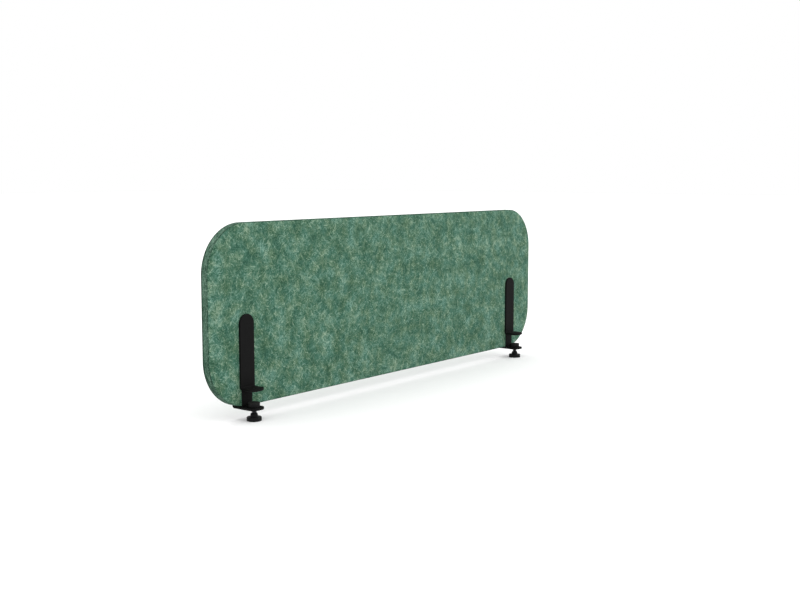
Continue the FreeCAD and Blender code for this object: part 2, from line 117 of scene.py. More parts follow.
def new_material(name):
    """A material with a Principled shader, and each point's place on its own piece in millimetres."""
    material = bpy.data.materials.new(name)
    material.use_nodes = True
    tree = material.node_tree
    tree.nodes.clear()
    shader = add(tree, "ShaderNodeBsdfPrincipled")
    add(tree, "ShaderNodeOutputMaterial", {"Surface": shader.outputs[0]})
    place = add(tree, "ShaderNodeTexCoord").outputs["Object"]
    in_mm = add(tree, "ShaderNodeVectorMath", {0: place, 1: (1 / MM,) * 3}, operation="MULTIPLY")
    return material, tree, shader, in_mm.outputs[0]


print("felt green in linear light:", [round(c, 3) for c in linear("#5A7D69")[:3]])

# %% [markdown]
# ## Pressed PET felt, the face
# The board is polyester staple fibre, dyed in a few greens, carded into a mat and pressed hot.
# Three things reach the eye. Fibres of one dye stay together, so there are clouds a hand wide.
# Within a cloud the mat is mottled. And single fibres curl over each other in every direction.
# A picture of felt as a texture would show its tiling, so clouds and mottle are noises of a known
# size. A Voronoi texture cuts the face into cells and gives each one a centre and random numbers.
# They turn and bend one tuft in each cell, and a fine comb splits the tuft into single strands.
# Several such layers lie over each other, each with its own cell size, as the fibres do. A slow
# sway over all of them keeps any two from being alike.
# Real fibres are 0.03 mm thick. All of these are drawn far coarser than that, so that the wide ones
# show from across a room. Seen from arm's length they look coarser than real felt.

# %% Sizes of the felt's pattern
CLOUD_MM = 62
HUE_CLOUD_MM = 34
CLUMP_MM = 17
MOTTLE_MM = 6.2
HAIR_MM = 1.3
SWAY_MM = 24
SWAY_BY_MM = 9
SIDE_SHIFT = 7.0
MOST_BEND = 0.07
STRAND_MM = 0.5
STRAND_GAP = 0.25
FIBRE_LAYERS = {
    "pale": [(25, 1.2, (31, 7, 0)), (20, 1.0, (-80, 44, 0)), (16, 0.9, (13, -95, 0)),
             (12, 0.8, (-7, 63, 0))],
    "dark": [(23, 1.3, (130, -25, 0)), (18, 1.0, (57, 91, 0)), (14, 0.9, (-49, -17, 0))],
    "fine_pale": [(9, 0.4, (-19, 33, 0)), (7, 0.3, (77, -61, 0)), (5.5, 0.25, (5, 29, 0))],
    "fine_dark": [(8, 0.4, (-37, -45, 0)), (6, 0.3, (21, 87, 0))],
}
layer_total = sum(len(layers) for layers in FIBRE_LAYERS.values())
print("felt: clouds of", CLOUD_MM, "mm and", layer_total, "layers of fibres")

# %% [markdown]
# ## Adding layers up, and turning the sum into colour
# A painter would mix the greens by hand. A shader adds numbers instead: each noise gets a weight,
# the weighted noises are added to a starting value, and the sum is looked up in a row of dye
# colours. Two small helpers do that here, and every later finish uses them again.

# %% Weights and colour steps
def weigh(tree, layers, start):
    """Adds up noise layers, each as (output, weight), from a starting value."""
    total = start
    for output, weight in layers:
        total = add(tree, "ShaderNodeMath", {0: output, 1: weight, 2: total},
                    operation="MULTIPLY_ADD").outputs[0]
    return total


def colour_steps(tree, factor, hex_colours):
    """A ramp with its colours evenly spaced from 0 to 1."""
    ramp = add(tree, "ShaderNodeValToRGB", {"Fac": factor})
    steps = ramp.color_ramp.elements
    while len(steps) < len(hex_colours):
        steps.new(0.5)
    for i, colour in enumerate(hex_colours):
        steps[i].position = i / (len(hex_colours) - 1)
        steps[i].color = linear(colour)
    return ramp.outputs["Color"]


print("helpers:", weigh.__name__, "and", colour_steps.__name__)

# %% [markdown]
# ## Clouds, mottle and a place to draw fibres
# Noise is even in all directions, so it suits clouds and mottle as it is. Fibres lie in the plane of
# the board, so they need flat coordinates: along it and up it. The same flat pattern on both faces
# would look like a print that soaked through, so the place along also moves with the depth.

# %% Noises of the face
felt_face, tree, shader, mm = new_material("pressed_pet_felt_face")
clouds = add(tree, "ShaderNodeTexNoise", {"Vector": mm, "Scale": 1 / CLOUD_MM, "Detail": 2.0})
clumps = add(tree, "ShaderNodeTexNoise", {"Vector": mm, "Scale": 1 / CLUMP_MM, "Detail": 2.0})
mottles = add(tree, "ShaderNodeTexNoise", {"Vector": mm, "Scale": 1 / MOTTLE_MM, "Detail": 2.0})
hairs = add(tree, "ShaderNodeTexNoise", {"Vector": mm, "Scale": 1 / HAIR_MM, "Detail": 1.0,
                                         "Distortion": 1.6})
sway = add(tree, "ShaderNodeTexNoise", {"Vector": mm, "Scale": 1 / SWAY_MM, "Detail": 1.0})
swayed = add(tree, "ShaderNodeVectorMath",
             {0: sway.outputs["Color"], 1: (SWAY_BY_MM,) * 3, 2: mm}, operation="MULTIPLY_ADD")
swayed_place = add(tree, "ShaderNodeSeparateXYZ", {0: swayed.outputs[0]})
own_place = add(tree, "ShaderNodeSeparateXYZ", {0: mm})
along = add(tree, "ShaderNodeMath", {0: own_place.outputs["Y"], 1: SIDE_SHIFT,
                                     2: swayed_place.outputs["X"]}, operation="MULTIPLY_ADD")
in_face = add(tree, "ShaderNodeCombineXYZ", {0: along.outputs[0], 1: swayed_place.outputs["Z"]})
print("the pattern moves", SIDE_SHIFT, "mm along for each mm of depth")

# %% [markdown]
# ## One tuft to a cell
# Each Voronoi cell knows its own centre, so a point minus that centre is a place within the cell.
# The cell's random colour gives a direction. Measured along and beside it, a straight tuft is a
# band, and adding the square of the one to the other bends the band into a bow. The band fades out
# towards the cell's border, so that few tufts are cut off there.

# %% Tufts of fibres
SOLID_SHARE = 0.4
FADE_FROM = 0.3
FADE_TO = 0.5


def tuft_axes(tree, moved, cells):
    """A point's distance along its cell's own random direction, and its distance beside it."""
    local = add(tree, "ShaderNodeVectorMath", {0: moved, 1: cells.outputs["Position"]},
                operation="SUBTRACT").outputs[0]
    flat = add(tree, "ShaderNodeVectorMath", {0: cells.outputs["Color"], 1: (1, 1, 0),
                                              2: (-0.5, -0.5, 0)}, operation="MULTIPLY_ADD")
    beside = add(tree, "ShaderNodeVectorMath", {0: flat.outputs[0]}, operation="NORMALIZE").outputs[0]
    ahead = add(tree, "ShaderNodeVectorMath", {0: beside, 1: (0, 0, 1)},
                operation="CROSS_PRODUCT").outputs[0]
    off = add(tree, "ShaderNodeVectorMath", {0: local, 1: beside}, operation="DOT_PRODUCT")
    along = add(tree, "ShaderNodeVectorMath", {0: local, 1: ahead}, operation="DOT_PRODUCT")
    return along.outputs["Value"], off.outputs["Value"]


def fade(tree, value, start, end, low=0.0):
    """1 up to start, and down to low at end."""
    return add(tree, "ShaderNodeMapRange", {"Value": value, "From Min": start, "From Max": end,
                                            "To Min": 1.0, "To Max": low}).outputs[0]


def curved_fibres(tree, place, cell_mm, width_mm, shift):
    """One bent tuft of fibres to a cell, up to 1 on it and 0 off it. Its way and bend are random."""
    moved = add(tree, "ShaderNodeVectorMath", {0: place, 1: shift}, operation="ADD").outputs[0]
    cells = add(tree, "ShaderNodeTexVoronoi", {"Vector": moved, "Scale": 1 / cell_mm},
                voronoi_dimensions="2D")
    along, off = tuft_axes(tree, moved, cells)
    blue = add(tree, "ShaderNodeSeparateColor", {0: cells.outputs["Color"]}).outputs[2]
    bend = add(tree, "ShaderNodeMapRange", {"Value": blue, "To Min": -MOST_BEND, "To Max": MOST_BEND})
    square = add(tree, "ShaderNodeMath", {0: along, 1: along}, operation="MULTIPLY")
    bent = add(tree, "ShaderNodeMath", {0: square.outputs[0], 1: bend.outputs[0], 2: off},
               operation="MULTIPLY_ADD").outputs[0]
    across = add(tree, "ShaderNodeMath", {0: bent}, operation="ABSOLUTE")
    length = add(tree, "ShaderNodeMath", {0: along}, operation="ABSOLUTE")
    line = fade(tree, across.outputs[0], SOLID_SHARE * width_mm, width_mm)
    ends = fade(tree, length.outputs[0], FADE_FROM * cell_mm, FADE_TO * cell_mm)
    comb = add(tree, "ShaderNodeMath", {0: bent, 1: STRAND_MM / 2}, operation="PINGPONG")
    strands = fade(tree, comb.outputs[0], 0.0, STRAND_MM / 2, STRAND_GAP)
    tuft = add(tree, "ShaderNodeMath", {0: line, 1: strands}, operation="MULTIPLY")
    return add(tree, "ShaderNodeMath", {0: tuft.outputs[0], 1: ends}, operation="MULTIPLY").outputs[0]


fibres = {kind: weigh(tree, [(curved_fibres(tree, in_face.outputs[0], *layer), 1.0)
                             for layer in layers], 0.0)
          for kind, layers in FIBRE_LAYERS.items()}
print("tufts: up to", max(layer[0] for layer in FIBRE_LAYERS["pale"]), "mm from cell to cell")

# %% [markdown]
# ## The felt's greens
# One sum decides how light a point is, and a second noise decides which of two dyes it took: a
# bluer green or a more olive one. Real felt is mixed from dyed fibre just so, which is why it looks
# alive where a single green would look painted. Polyester hardly shines, and its loose surface
# scatters light, so the roughness is near 1 with a trace of sheen.

# %% Felt face
tone = weigh(tree, [
    (clouds.outputs["Fac"], 1.15),
    (clumps.outputs["Fac"], 0.90),
    (mottles.outputs["Fac"], 0.78),
    (hairs.outputs["Fac"], 0.45),
    (fibres["pale"], 0.55),
    (fibres["fine_pale"], 0.32),
    (fibres["dark"], -0.56),
    (fibres["fine_dark"], -0.32),
], -1.31)

hue = add(tree, "ShaderNodeTexNoise", {"Vector": mm, "Scale": 1 / HUE_CLOUD_MM, "Detail": 3.0})
hue_mix = weigh(tree, [(hue.outputs["Fac"], 1.0), (fibres["pale"], 0.10)], 0.0)
hue_share = add(tree, "ShaderNodeMapRange", {"Value": hue_mix, "From Min": 0.38, "From Max": 0.68})
teal_greens = colour_steps(tree, tone, ["#1F4736", "#345D4B", "#456C5C", "#5C8374", "#76988A"])
olive_greens = colour_steps(tree, tone, ["#264831", "#3D5D45", "#506E55", "#6B846E", "#859B86"])
felt_colour = add(tree, "ShaderNodeMix", {0: hue_share.outputs[0], 6: teal_greens, 7: olive_greens},
                  data_type="RGBA")

FELT_RELIEF_MM = 0.35
felt_bump = add(tree, "ShaderNodeBump", {"Height": weigh(tree, [
    (hairs.outputs["Fac"], 0.6), (fibres["pale"], 0.35), (fibres["fine_pale"], 0.3),
    (mottles.outputs["Fac"], 0.5)], 0.0),
    "Distance": FELT_RELIEF_MM * MM, "Strength": 0.8})
tree.links.new(felt_colour.outputs[2], shader.inputs["Base Color"])
tree.links.new(felt_bump.outputs[0], shader.inputs["Normal"])
shader.inputs["Roughness"].default_value = 0.95
shader.inputs["IOR"].default_value = 1.57
shader.inputs["Specular IOR Level"].default_value = 0.15
shader.inputs["Sheen Weight"].default_value = 0.04
shader.inputs["Sheen Roughness"].default_value = 0.6
print("felt face:", len(tree.nodes), "nodes, clouds of", CLOUD_MM, "mm")

# %% [markdown]
# ## Pressed PET felt, the cut edge
# A knife cuts the board to shape, and the cut shows how it was made: thin sheets of fibre lying on
# each other, like the pages of a book. One noise draws the sheets once it is squeezed: short steps
# through the board, long ones along it. Along each rim a ragged band is darkened as painted shade,
# where the rounded edge turns from the light; the rear band is the deeper and the darker of the two.

# %% Felt edge
LAYER_MM = 2.4
STREAK_MM = 16
FLECK_MM = 4
RAGGED_MM = 4
FRONT_SHADE_MM = 2.5
REAR_SHADE_MM = 6.5
EDGE_RELIEF_MM = 0.5

felt_edge, tree, shader, mm = new_material("pressed_pet_felt_edge")
board_low, board_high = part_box("felt_panel")
board_middle_mm = (board_low.y + board_high.y) / 2 / MM
board_half_mm = (board_high.y - board_low.y) / 2 / MM

squeezed = add(tree, "ShaderNodeVectorMath",
               {0: mm, 1: (1 / STREAK_MM, 1 / LAYER_MM, 1 / STREAK_MM)}, operation="MULTIPLY")
sheets = add(tree, "ShaderNodeTexNoise", {"Vector": squeezed.outputs[0], "Scale": 1.0, "Detail": 3.0,
                                          "Roughness": 0.6})
frayed = add(tree, "ShaderNodeTexNoise", {"Vector": mm, "Scale": 1 / HAIR_MM, "Detail": 2.0})
clouds = add(tree, "ShaderNodeTexNoise", {"Vector": mm, "Scale": 1 / CLOUD_MM, "Detail": 2.0})
across = add(tree, "ShaderNodeSeparateXYZ", {0: mm}).outputs["Y"]
from_middle = add(tree, "ShaderNodeMath", {0: across, 1: board_middle_mm}, operation="SUBTRACT")
flecks = add(tree, "ShaderNodeTexNoise", {"Vector": mm, "Scale": 1 / FLECK_MM, "Detail": 3.0})
ragged = add(tree, "ShaderNodeMath", {0: flecks.outputs["Fac"], 1: RAGGED_MM,
                                      2: from_middle.outputs[0]}, operation="MULTIPLY_ADD")
# Painted shade: a ragged band at each rim is darkened where the edge rounds away from the light, wider
# and darker at the rear.
in_front = -board_half_mm + RAGGED_MM / 2
at_rear = board_half_mm + RAGGED_MM / 2
front_rim_painted_shade = add(tree, "ShaderNodeMapRange", {"Value": ragged.outputs[0], "From Min": in_front,
                                              "From Max": in_front + FRONT_SHADE_MM,
                                              "To Min": 1.0, "To Max": 0.0})
rear_rim_painted_shade = add(tree, "ShaderNodeMapRange", {"Value": ragged.outputs[0],
                                             "From Min": at_rear - REAR_SHADE_MM,
                                             "From Max": at_rear - REAR_SHADE_MM / 2})
tone = weigh(tree, [
    (sheets.outputs["Fac"], 2.7),
    (flecks.outputs["Fac"], 1.8),
    (frayed.outputs["Fac"], 0.8),
    (clouds.outputs["Fac"], 1.2),
    (front_rim_painted_shade.outputs[0], -0.30),
    (rear_rim_painted_shade.outputs[0], -0.70),
], -2.84)
# These greens are darker than the face's as painted shade, because the cut edge turns away from the
# light.
edge_colour_with_shade = colour_steps(tree, tone, ["#1F382B", "#3A5647", "#4D6959", "#6D8776"])
edge_bump = add(tree, "ShaderNodeBump", {"Height": weigh(tree, [
    (sheets.outputs["Fac"], 1.0), (frayed.outputs["Fac"], 0.5)], 0.0),
    "Distance": EDGE_RELIEF_MM * MM, "Strength": 0.8})
tree.links.new(edge_colour_with_shade, shader.inputs["Base Color"])
tree.links.new(edge_bump.outputs[0], shader.inputs["Normal"])
shader.inputs["Roughness"].default_value = 0.97
shader.inputs["IOR"].default_value = 1.57
shader.inputs["Specular IOR Level"].default_value = 0.12
print("felt edge:", round(2 * board_half_mm), "mm board in sheets of about", LAYER_MM, "mm")

# %% [markdown]
# ## Powder-coated steel
# The plates are cut and bent from 6 mm sheet, then sprayed with dry black powder and baked. The
# powder melts into a skin that hides every mill mark and leaves a fine, even orange peel.
# It is matt: light spreads so far that no lamp shows as a spot, and the black stays near black.
# Grains are 0.5 mm apart, with a very slow change of shade where the coat is thicker.

# %% Powder coat
POWDER_GRAIN_MM = 0.5
COAT_DRIFT_MM = 40
COAT_RELIEF_MM = 0.05

powder_coat, tree, shader, mm = new_material("powder_coated_steel")
grains = add(tree, "ShaderNodeTexNoise", {"Vector": mm, "Scale": 1 / POWDER_GRAIN_MM, "Detail": 2.0})
drift = add(tree, "ShaderNodeTexNoise", {"Vector": mm, "Scale": 1 / COAT_DRIFT_MM, "Detail": 2.0})
coat_tone = weigh(tree, [(grains.outputs["Fac"], 0.5), (drift.outputs["Fac"], 0.5)], 0.0)
coat_colour = colour_steps(tree, coat_tone, ["#0A0A0A", "#0E0E0E", "#131313"])
coat_rough = add(tree, "ShaderNodeMapRange", {"Value": coat_tone, "To Min": 0.62, "To Max": 0.78})
coat_bump = add(tree, "ShaderNodeBump", {"Height": grains.outputs["Fac"], "Distance": COAT_RELIEF_MM * MM,
                                         "Strength": 0.6})
tree.links.new(coat_colour, shader.inputs["Base Color"])
tree.links.new(coat_rough.outputs[0], shader.inputs["Roughness"])
tree.links.new(coat_bump.outputs[0], shader.inputs["Normal"])
shader.inputs["IOR"].default_value = 1.5
shader.inputs["Specular IOR Level"].default_value = 0.07
print("powder coat: grains of", POWDER_GRAIN_MM, "mm")

# %% [markdown]
# ## Moulded nylon
# The knob and the pressure pad are glass-filled nylon. The mould was spark-eroded, so the part comes
# out with a dry, very fine grain that hides finger marks. It is as dark as the powder coat but a
# little glossier, which is how the eye tells the two blacks apart.

# %% Nylon
SPARK_GRAIN_MM = 0.22
FLOW_MM = 9
NYLON_RELIEF_MM = 0.03

nylon, tree, shader, mm = new_material("moulded_nylon")
sparks = add(tree, "ShaderNodeTexVoronoi", {"Vector": mm, "Scale": 1 / SPARK_GRAIN_MM})
flow = add(tree, "ShaderNodeTexNoise", {"Vector": mm, "Scale": 1 / FLOW_MM, "Detail": 2.0,
                                        "Distortion": 0.8})
nylon_colour = colour_steps(tree, flow.outputs["Fac"], ["#0A0A0B", "#0E0E0F", "#131314"])
nylon_rough = add(tree, "ShaderNodeMapRange", {"Value": flow.outputs["Fac"], "To Min": 0.42,
                                               "To Max": 0.58})
nylon_bump = add(tree, "ShaderNodeBump", {"Height": sparks.outputs["Distance"],
                                          "Distance": NYLON_RELIEF_MM * MM, "Strength": 0.6})
tree.links.new(nylon_colour, shader.inputs["Base Color"])
tree.links.new(nylon_rough.outputs[0], shader.inputs["Roughness"])
tree.links.new(nylon_bump.outputs[0], shader.inputs["Normal"])
shader.inputs["IOR"].default_value = 1.53
shader.inputs["Specular IOR Level"].default_value = 0.10
print("nylon: grain of", SPARK_GRAIN_MM, "mm")

# %% [markdown]
# ## Rubber
# Thin black rubber lies wherever the clamp meets the desk. It is filled with carbon black and takes
# its surface from a plain mould plate, so it is the dullest black of all, with dusty patches.

# %% Rubber
RUBBER_GRAIN_MM = 0.35
DUST_MM = 12
RUBBER_RELIEF_MM = 0.06

rubber, tree, shader, mm = new_material("black_rubber")
pores = add(tree, "ShaderNodeTexNoise", {"Vector": mm, "Scale": 1 / RUBBER_GRAIN_MM, "Detail": 2.0})
dust = add(tree, "ShaderNodeTexNoise", {"Vector": mm, "Scale": 1 / DUST_MM, "Detail": 3.0})
rubber_colour = colour_steps(tree, dust.outputs["Fac"], ["#111111", "#181817", "#242423"])
rubber_bump = add(tree, "ShaderNodeBump", {"Height": pores.outputs["Fac"],
                                           "Distance": RUBBER_RELIEF_MM * MM, "Strength": 0.7})
tree.links.new(rubber_colour, shader.inputs["Base Color"])
tree.links.new(rubber_bump.outputs[0], shader.inputs["Normal"])
shader.inputs["Roughness"].default_value = 0.85
shader.inputs["IOR"].default_value = 1.52
shader.inputs["Specular IOR Level"].default_value = 0.2
print("rubber: pores of", RUBBER_GRAIN_MM, "mm")

# %% [markdown]
# ## Three bare metals
# The clamp screw and the fixings are blackened steel: an oxide layer a micron thick, kept oily.
# The bush is zinc plated, a bright blue-white metal. The sleeves inside the board are turned
# aluminium. A lathe leaves a fine groove at each turn, so all three share one loop: rings about the
# part's own axis are too fine to see one by one, and a fine noise in the bump gives the same broken
# glint. A second, slower noise stains the colour and the roughness together.
# A metal keeps the default IOR, because its colour says how it reflects.

# %% Metals
METALS = {
    "blackened_steel": dict(colours=["#1B1B1D", "#262629", "#333337"], rough=(0.36, 0.52), metal=0.7),
    "zinc_plated_steel": dict(colours=["#8C9096", "#A9ADB3", "#BFC3C8"], rough=(0.26, 0.42), metal=1.0),
    "turned_aluminium": dict(colours=["#B4B5B8", "#C6C7CA", "#D6D7DA"], rough=(0.24, 0.38), metal=1.0),
}
TOOL_MARK_MM = 0.25
STAIN_MM = 5
TOOL_MARK_DEPTH_MM = 0.01

metals = {}
for metal_name, look in METALS.items():
    metals[metal_name], tree, shader, mm = new_material(metal_name)
    marks = add(tree, "ShaderNodeTexNoise", {"Vector": mm, "Scale": 1 / TOOL_MARK_MM, "Detail": 1.0})
    stains = add(tree, "ShaderNodeTexNoise", {"Vector": mm, "Scale": 1 / STAIN_MM, "Detail": 3.0})
    metal_colour = colour_steps(tree, stains.outputs["Fac"], look["colours"])
    metal_rough = add(tree, "ShaderNodeMapRange", {"Value": stains.outputs["Fac"],
                                                   "To Min": look["rough"][0],
                                                   "To Max": look["rough"][1]})
    metal_bump = add(tree, "ShaderNodeBump", {"Height": marks.outputs["Fac"],
                                              "Distance": TOOL_MARK_DEPTH_MM * MM, "Strength": 0.5})
    tree.links.new(metal_colour, shader.inputs["Base Color"])
    tree.links.new(metal_rough.outputs[0], shader.inputs["Roughness"])
    tree.links.new(metal_bump.outputs[0], shader.inputs["Normal"])
    shader.inputs["Metallic"].default_value = look["metal"]
print("metals:", ", ".join(metals))

# %% [markdown]
# ## The CAD pieces that stay
# Sheet metal, washers and screw heads already have their true shape in CAD, with softened edges.
# Making them again would only add mistakes, so they keep their mesh and get a finish.

# %% Finishes on the CAD pieces
FINISHES = {
    "front_jaw": powder_coat,
    "rear_bracket": powder_coat,
    "stem": powder_coat,
    "spacer_sleeves": metals["turned_aluminium"],
    "fixing_screws": metals["blackened_steel"],
    "fixing_washers": metals["blackened_steel"],
    "threaded_bush": metals["zinc_plated_steel"],
}
SIDES = ("left", "right")

for side in SIDES:
    for piece_name, finish in FINISHES.items():
        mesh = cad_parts[f"{side}_{piece_name}"].data
        mesh.materials.clear()
        mesh.materials.append(finish)
print("finished", len(SIDES) * len(FINISHES), "CAD pieces")

# %% [markdown]
# ## Making a piece
# Every new piece goes through one door. It gets its mesh and its materials, it is told which CAD
# body carries it and which CAD nodes it stands for, and it says how many faces it has.

# %% Piece helper
SHARP_ANGLE = math.radians(38)


def new_piece(name, points, faces, materials, body, stands_for=()):
    """A closed, smooth-shaded mesh in the frame's own metres, carried by a body of the frame."""
    mesh = bpy.data.meshes.new(name)
    mesh.from_pydata([tuple(p) for p in points], [], faces)
    for material in materials:
        mesh.materials.append(material)
    work = bmesh.new()
    work.from_mesh(mesh)
    bmesh.ops.recalc_face_normals(work, faces=work.faces)
    work.to_mesh(mesh)
    work.free()
    mesh.shade_smooth()
    mesh.set_sharp_from_angle(angle=SHARP_ANGLE)
    piece = bpy.data.objects.new(name, mesh)
    bpy.context.scene.collection.objects.link(piece)
    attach(piece, body)
    if stands_for:
        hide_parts(*stands_for)
    print(name, "has", len(mesh.polygons), "faces and rides on", body)
    return piece


# %% [markdown]
# ## The board's outline
# The board is a rectangle whose corners are quarter circles. A Boolean or a bevel would leave long
# thin faces that can't hold any relief. Here a plain square grid is drawn into the shape instead:
# in each corner a square patch is bent onto a quarter disc, so every face stays a small quad.

# %% Grid with round corners
def grid_lines(half, radius, step):
    """Grid places from -half to half, with a line where each corner patch begins."""
    corner = max(2, round(radius / step))
    middle = max(2, round(2 * (half - radius) / step))
    low = np.linspace(-half, -(half - radius), corner + 1)
    centre = np.linspace(-(half - radius), half - radius, middle + 1)
    return np.concatenate([low, centre[1:-1], -low[::-1]])


def into_round_corners(x, z, half_x, half_z, radius):
    """Moves grid points from a rectangle onto the same rectangle with round corners."""
    u = np.clip((np.abs(x) - (half_x - radius)) / radius, 0, 1)
    v = np.clip((np.abs(z) - (half_z - radius)) / radius, 0, 1)
    new_x = np.where(u > 0, half_x - radius + radius * u * np.sqrt(1 - v * v / 2), np.abs(x))
    new_z = np.where(v > 0, half_z - radius + radius * v * np.sqrt(1 - u * u / 2), np.abs(z))
    return np.sign(x) * new_x, np.sign(z) * new_z


BOARD_STEP = 5 * MM
SOFT_EDGE = 2 * MM
CORNER_RADIUS = 137 * MM

board_centre = (board_low + board_high) / 2
half_x = (board_high.x - board_low.x) / 2 - SOFT_EDGE
half_z = (board_high.z - board_low.z) / 2 - SOFT_EDGE
face_radius = CORNER_RADIUS - SOFT_EDGE
lines_x = grid_lines(half_x, face_radius, BOARD_STEP)
lines_z = grid_lines(half_z, face_radius, BOARD_STEP)
square_x, square_z = np.meshgrid(lines_x, lines_z, indexing="ij")
face_x, face_z = into_round_corners(square_x, square_z, half_x, half_z, face_radius)
print("board grid:", len(lines_x), "by", len(lines_z), "points")

# %% [markdown]
# ## How the felt swells
# Felt gives. Where a clamp squeezes it, it is exactly as thick as the sleeves inside allow, and a
# finger's width away it has swollen back by a few tenths of a millimetre. It is never quite flat
# either. Both are true shape, so both go into the mesh, and the light finds them by itself.
# Each face takes a slice of its own out of one noise, so that front and rear don't match.

# %% Relief of the faces
SWELL = 0.45 * MM
SWELL_REACH = 14 * MM
WAVE = 0.22 * MM
WAVE_MM = 34
RIM_FADE = 7 * MM
FRONT_WAVES = 3.1
REAR_WAVES = 47.6


def smooth_step(t):
    """0 below 0, 1 above 1, and an even curve between them."""
    t = np.clip(t, 0, 1)
    return t * t * (3 - 2 * t)


def gap_to_plates(x, z):
    """How far a point of a face lies outside the nearest upright, seen from the front."""
    gaps = []
    for side in SIDES:
        low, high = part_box(f"{side}_front_jaw")
        half = (high.x - low.x) / 2
        above = np.maximum(0, z - (high.z - half))
        gaps.append(np.hypot(x - (low.x + high.x) / 2, above) - half)
    return np.minimum(*gaps)


def face_relief(x, z, slice_of_noise):
    """How far the felt stands out of the board's nominal face."""
    waves = np.array([noise.noise(Vector((px / WAVE_MM / MM, slice_of_noise, pz / WAVE_MM / MM)))
                      for px, pz in zip(x.ravel(), z.ravel())]).reshape(x.shape)
    return smooth_step(gap_to_plates(x, z) / SWELL_REACH) * (SWELL + WAVE * waves)


def rim_share(x, z):
    """1 on the open face, and 0 at its rim, where the cut edge takes over."""
    inside_x = half_x - np.abs(x)
    inside_z = half_z - np.abs(z)
    u = np.clip(face_radius - inside_x, 0, None)
    v = np.clip(face_radius - inside_z, 0, None)
    in_corner = (u > 0) & (v > 0)
    inside = np.where(in_corner, face_radius - np.hypot(u, v), np.minimum(inside_x, inside_z))
    return smooth_step(inside / RIM_FADE)


world_x = face_x + board_centre.x
world_z = face_z + board_centre.z
front_y = board_low.y - face_relief(world_x, world_z, FRONT_WAVES) * rim_share(face_x, face_z)
rear_y = board_high.y + face_relief(world_x, world_z, REAR_WAVES) * rim_share(face_x, face_z)
print("felt stands out by up to", round(float(board_low.y - front_y.min()) / MM, 2), "mm")

# %% [markdown]
# ## The cut edge
# The edge is a band that walks once round the outline and, at each stop, across the thickness.
# At the two rims a quarter circle softens it. Between them the layers stand a little in and out,
# because a knife drags on the loose middle more than on the hard skins.

# %% Edge band
RIM_STEPS = 4
EDGE_STEPS = 16
LAYER_RELIEF = 0.30 * MM
CORE_HOLLOW = 0.25 * MM
LAYER_STEP_MM = 1.9
LAYER_RUN_MM = 40
NO_DISTANCE = 1e-9
ON_THE_SIDE = 1e-6


def rim_loop(rows, columns):
    """Grid places (i, j) once round the rim of a grid."""
    last_i, last_j = rows - 1, columns - 1
    loop = [(i, 0) for i in range(last_i)] + [(last_i, j) for j in range(last_j)]
    return loop + [(i, last_j) for i in range(last_i, 0, -1)] + [(0, j) for j in range(last_j, 0, -1)]


def rim_normal(x, z):
    """The direction straight out of the outline at a point of the rim."""
    u = abs(x) - (half_x - face_radius)
    v = abs(z) - (half_z - face_radius)
    if u > NO_DISTANCE and v > NO_DISTANCE:
        return math.copysign(u, x) / math.hypot(u, v), math.copysign(v, z) / math.hypot(u, v)
    return (math.copysign(1, x), 0.0) if half_x - abs(x) < ON_THE_SIDE else (0.0, math.copysign(1, z))


def edge_profile():
    """Stops across the thickness: (distance from the front face, distance out from the face's rim)."""
    thickness = board_high.y - board_low.y
    quarter = [math.radians(90 * k / RIM_STEPS) for k in range(1, RIM_STEPS + 1)]
    front = [(SOFT_EDGE * (1 - math.cos(a)), SOFT_EDGE * math.sin(a)) for a in quarter]
    flat = [(SOFT_EDGE + (thickness - 2 * SOFT_EDGE) * k / EDGE_STEPS, SOFT_EDGE)
            for k in range(1, EDGE_STEPS)]
    return front + flat + [(thickness - d, out) for d, out in reversed(front)]


print("edge profile:", len(edge_profile()), "stops across the thickness")

# %% [markdown]
# ## The board in one skin
# Both faces and the band become one closed mesh, so that light can't leak in at the rims and the
# board can be drilled. The faces share their rim points with the band. Points are only numbered
# here, first the front face, then the rear one, then the band, and a face is a list of numbers.

# %% The board
rows, columns = face_x.shape
points = [Vector(p) for p in np.stack([world_x, front_y, world_z], -1).reshape(-1, 3)]
points += [Vector(p) for p in np.stack([world_x, rear_y, world_z], -1).reshape(-1, 3)]
rear_start = rows * columns


def at(i, j):
    return i * columns + j


faces = []
for i in range(rows - 1):
    for j in range(columns - 1):
        quad = (at(i, j), at(i + 1, j), at(i + 1, j + 1), at(i, j + 1))
        faces.append(quad)
        faces.append(tuple(rear_start + k for k in reversed(quad)))
face_count = len(faces)

loop = rim_loop(rows, columns)
profile = edge_profile()
columns_of_band = []
for i, j in loop:
    x, z = face_x[i, j], face_z[i, j]
    out_x, out_z = rim_normal(x, z)
    column = [at(i, j)]
    for deep, out in profile[:-1]:
        layer = noise.noise(Vector((deep / MM / LAYER_STEP_MM, x / MM / LAYER_RUN_MM,
                                    z / MM / LAYER_RUN_MM)))
        middle = math.sin(math.pi * deep / (board_high.y - board_low.y))
        inward = (LAYER_RELIEF * (0.5 + 0.5 * layer) + CORE_HOLLOW) * middle
        reach = out - inward
        column.append(len(points))
        points.append(Vector((x + board_centre.x + out_x * reach, board_low.y + deep,
                              z + board_centre.z + out_z * reach)))
    column.append(rear_start + at(i, j))
    columns_of_band.append(column)
for here, there in zip(columns_of_band, columns_of_band[1:] + columns_of_band[:1]):
    for k in range(len(here) - 1):
        faces.append((here[k], here[k + 1], there[k + 1], there[k]))

felt_board = new_piece("felt_board", points, faces, [felt_face, felt_edge], "root",
                       ["felt_panel"])
for polygon in felt_board.data.polygons[face_count:]:
    polygon.material_index = 1
print("cut edge:", len(loop), "stops round it,", len(profile), "across it")

# %% [markdown]
# ## Holes for the sleeves
# Each fixing screw runs through a sleeve, so that tightening it squeezes metal and not felt. The
# holes are hidden, but a board that came off the bench would have them, so they are cut here too.
# Four plain cylinders and one Boolean modifier do it, since nothing about these holes is soft.

# %% Sleeve holes
SLEEVE_PLAY = 0.2 * MM
HOLE_SIDES = 40
PAST_THE_FACES = 5 * MM


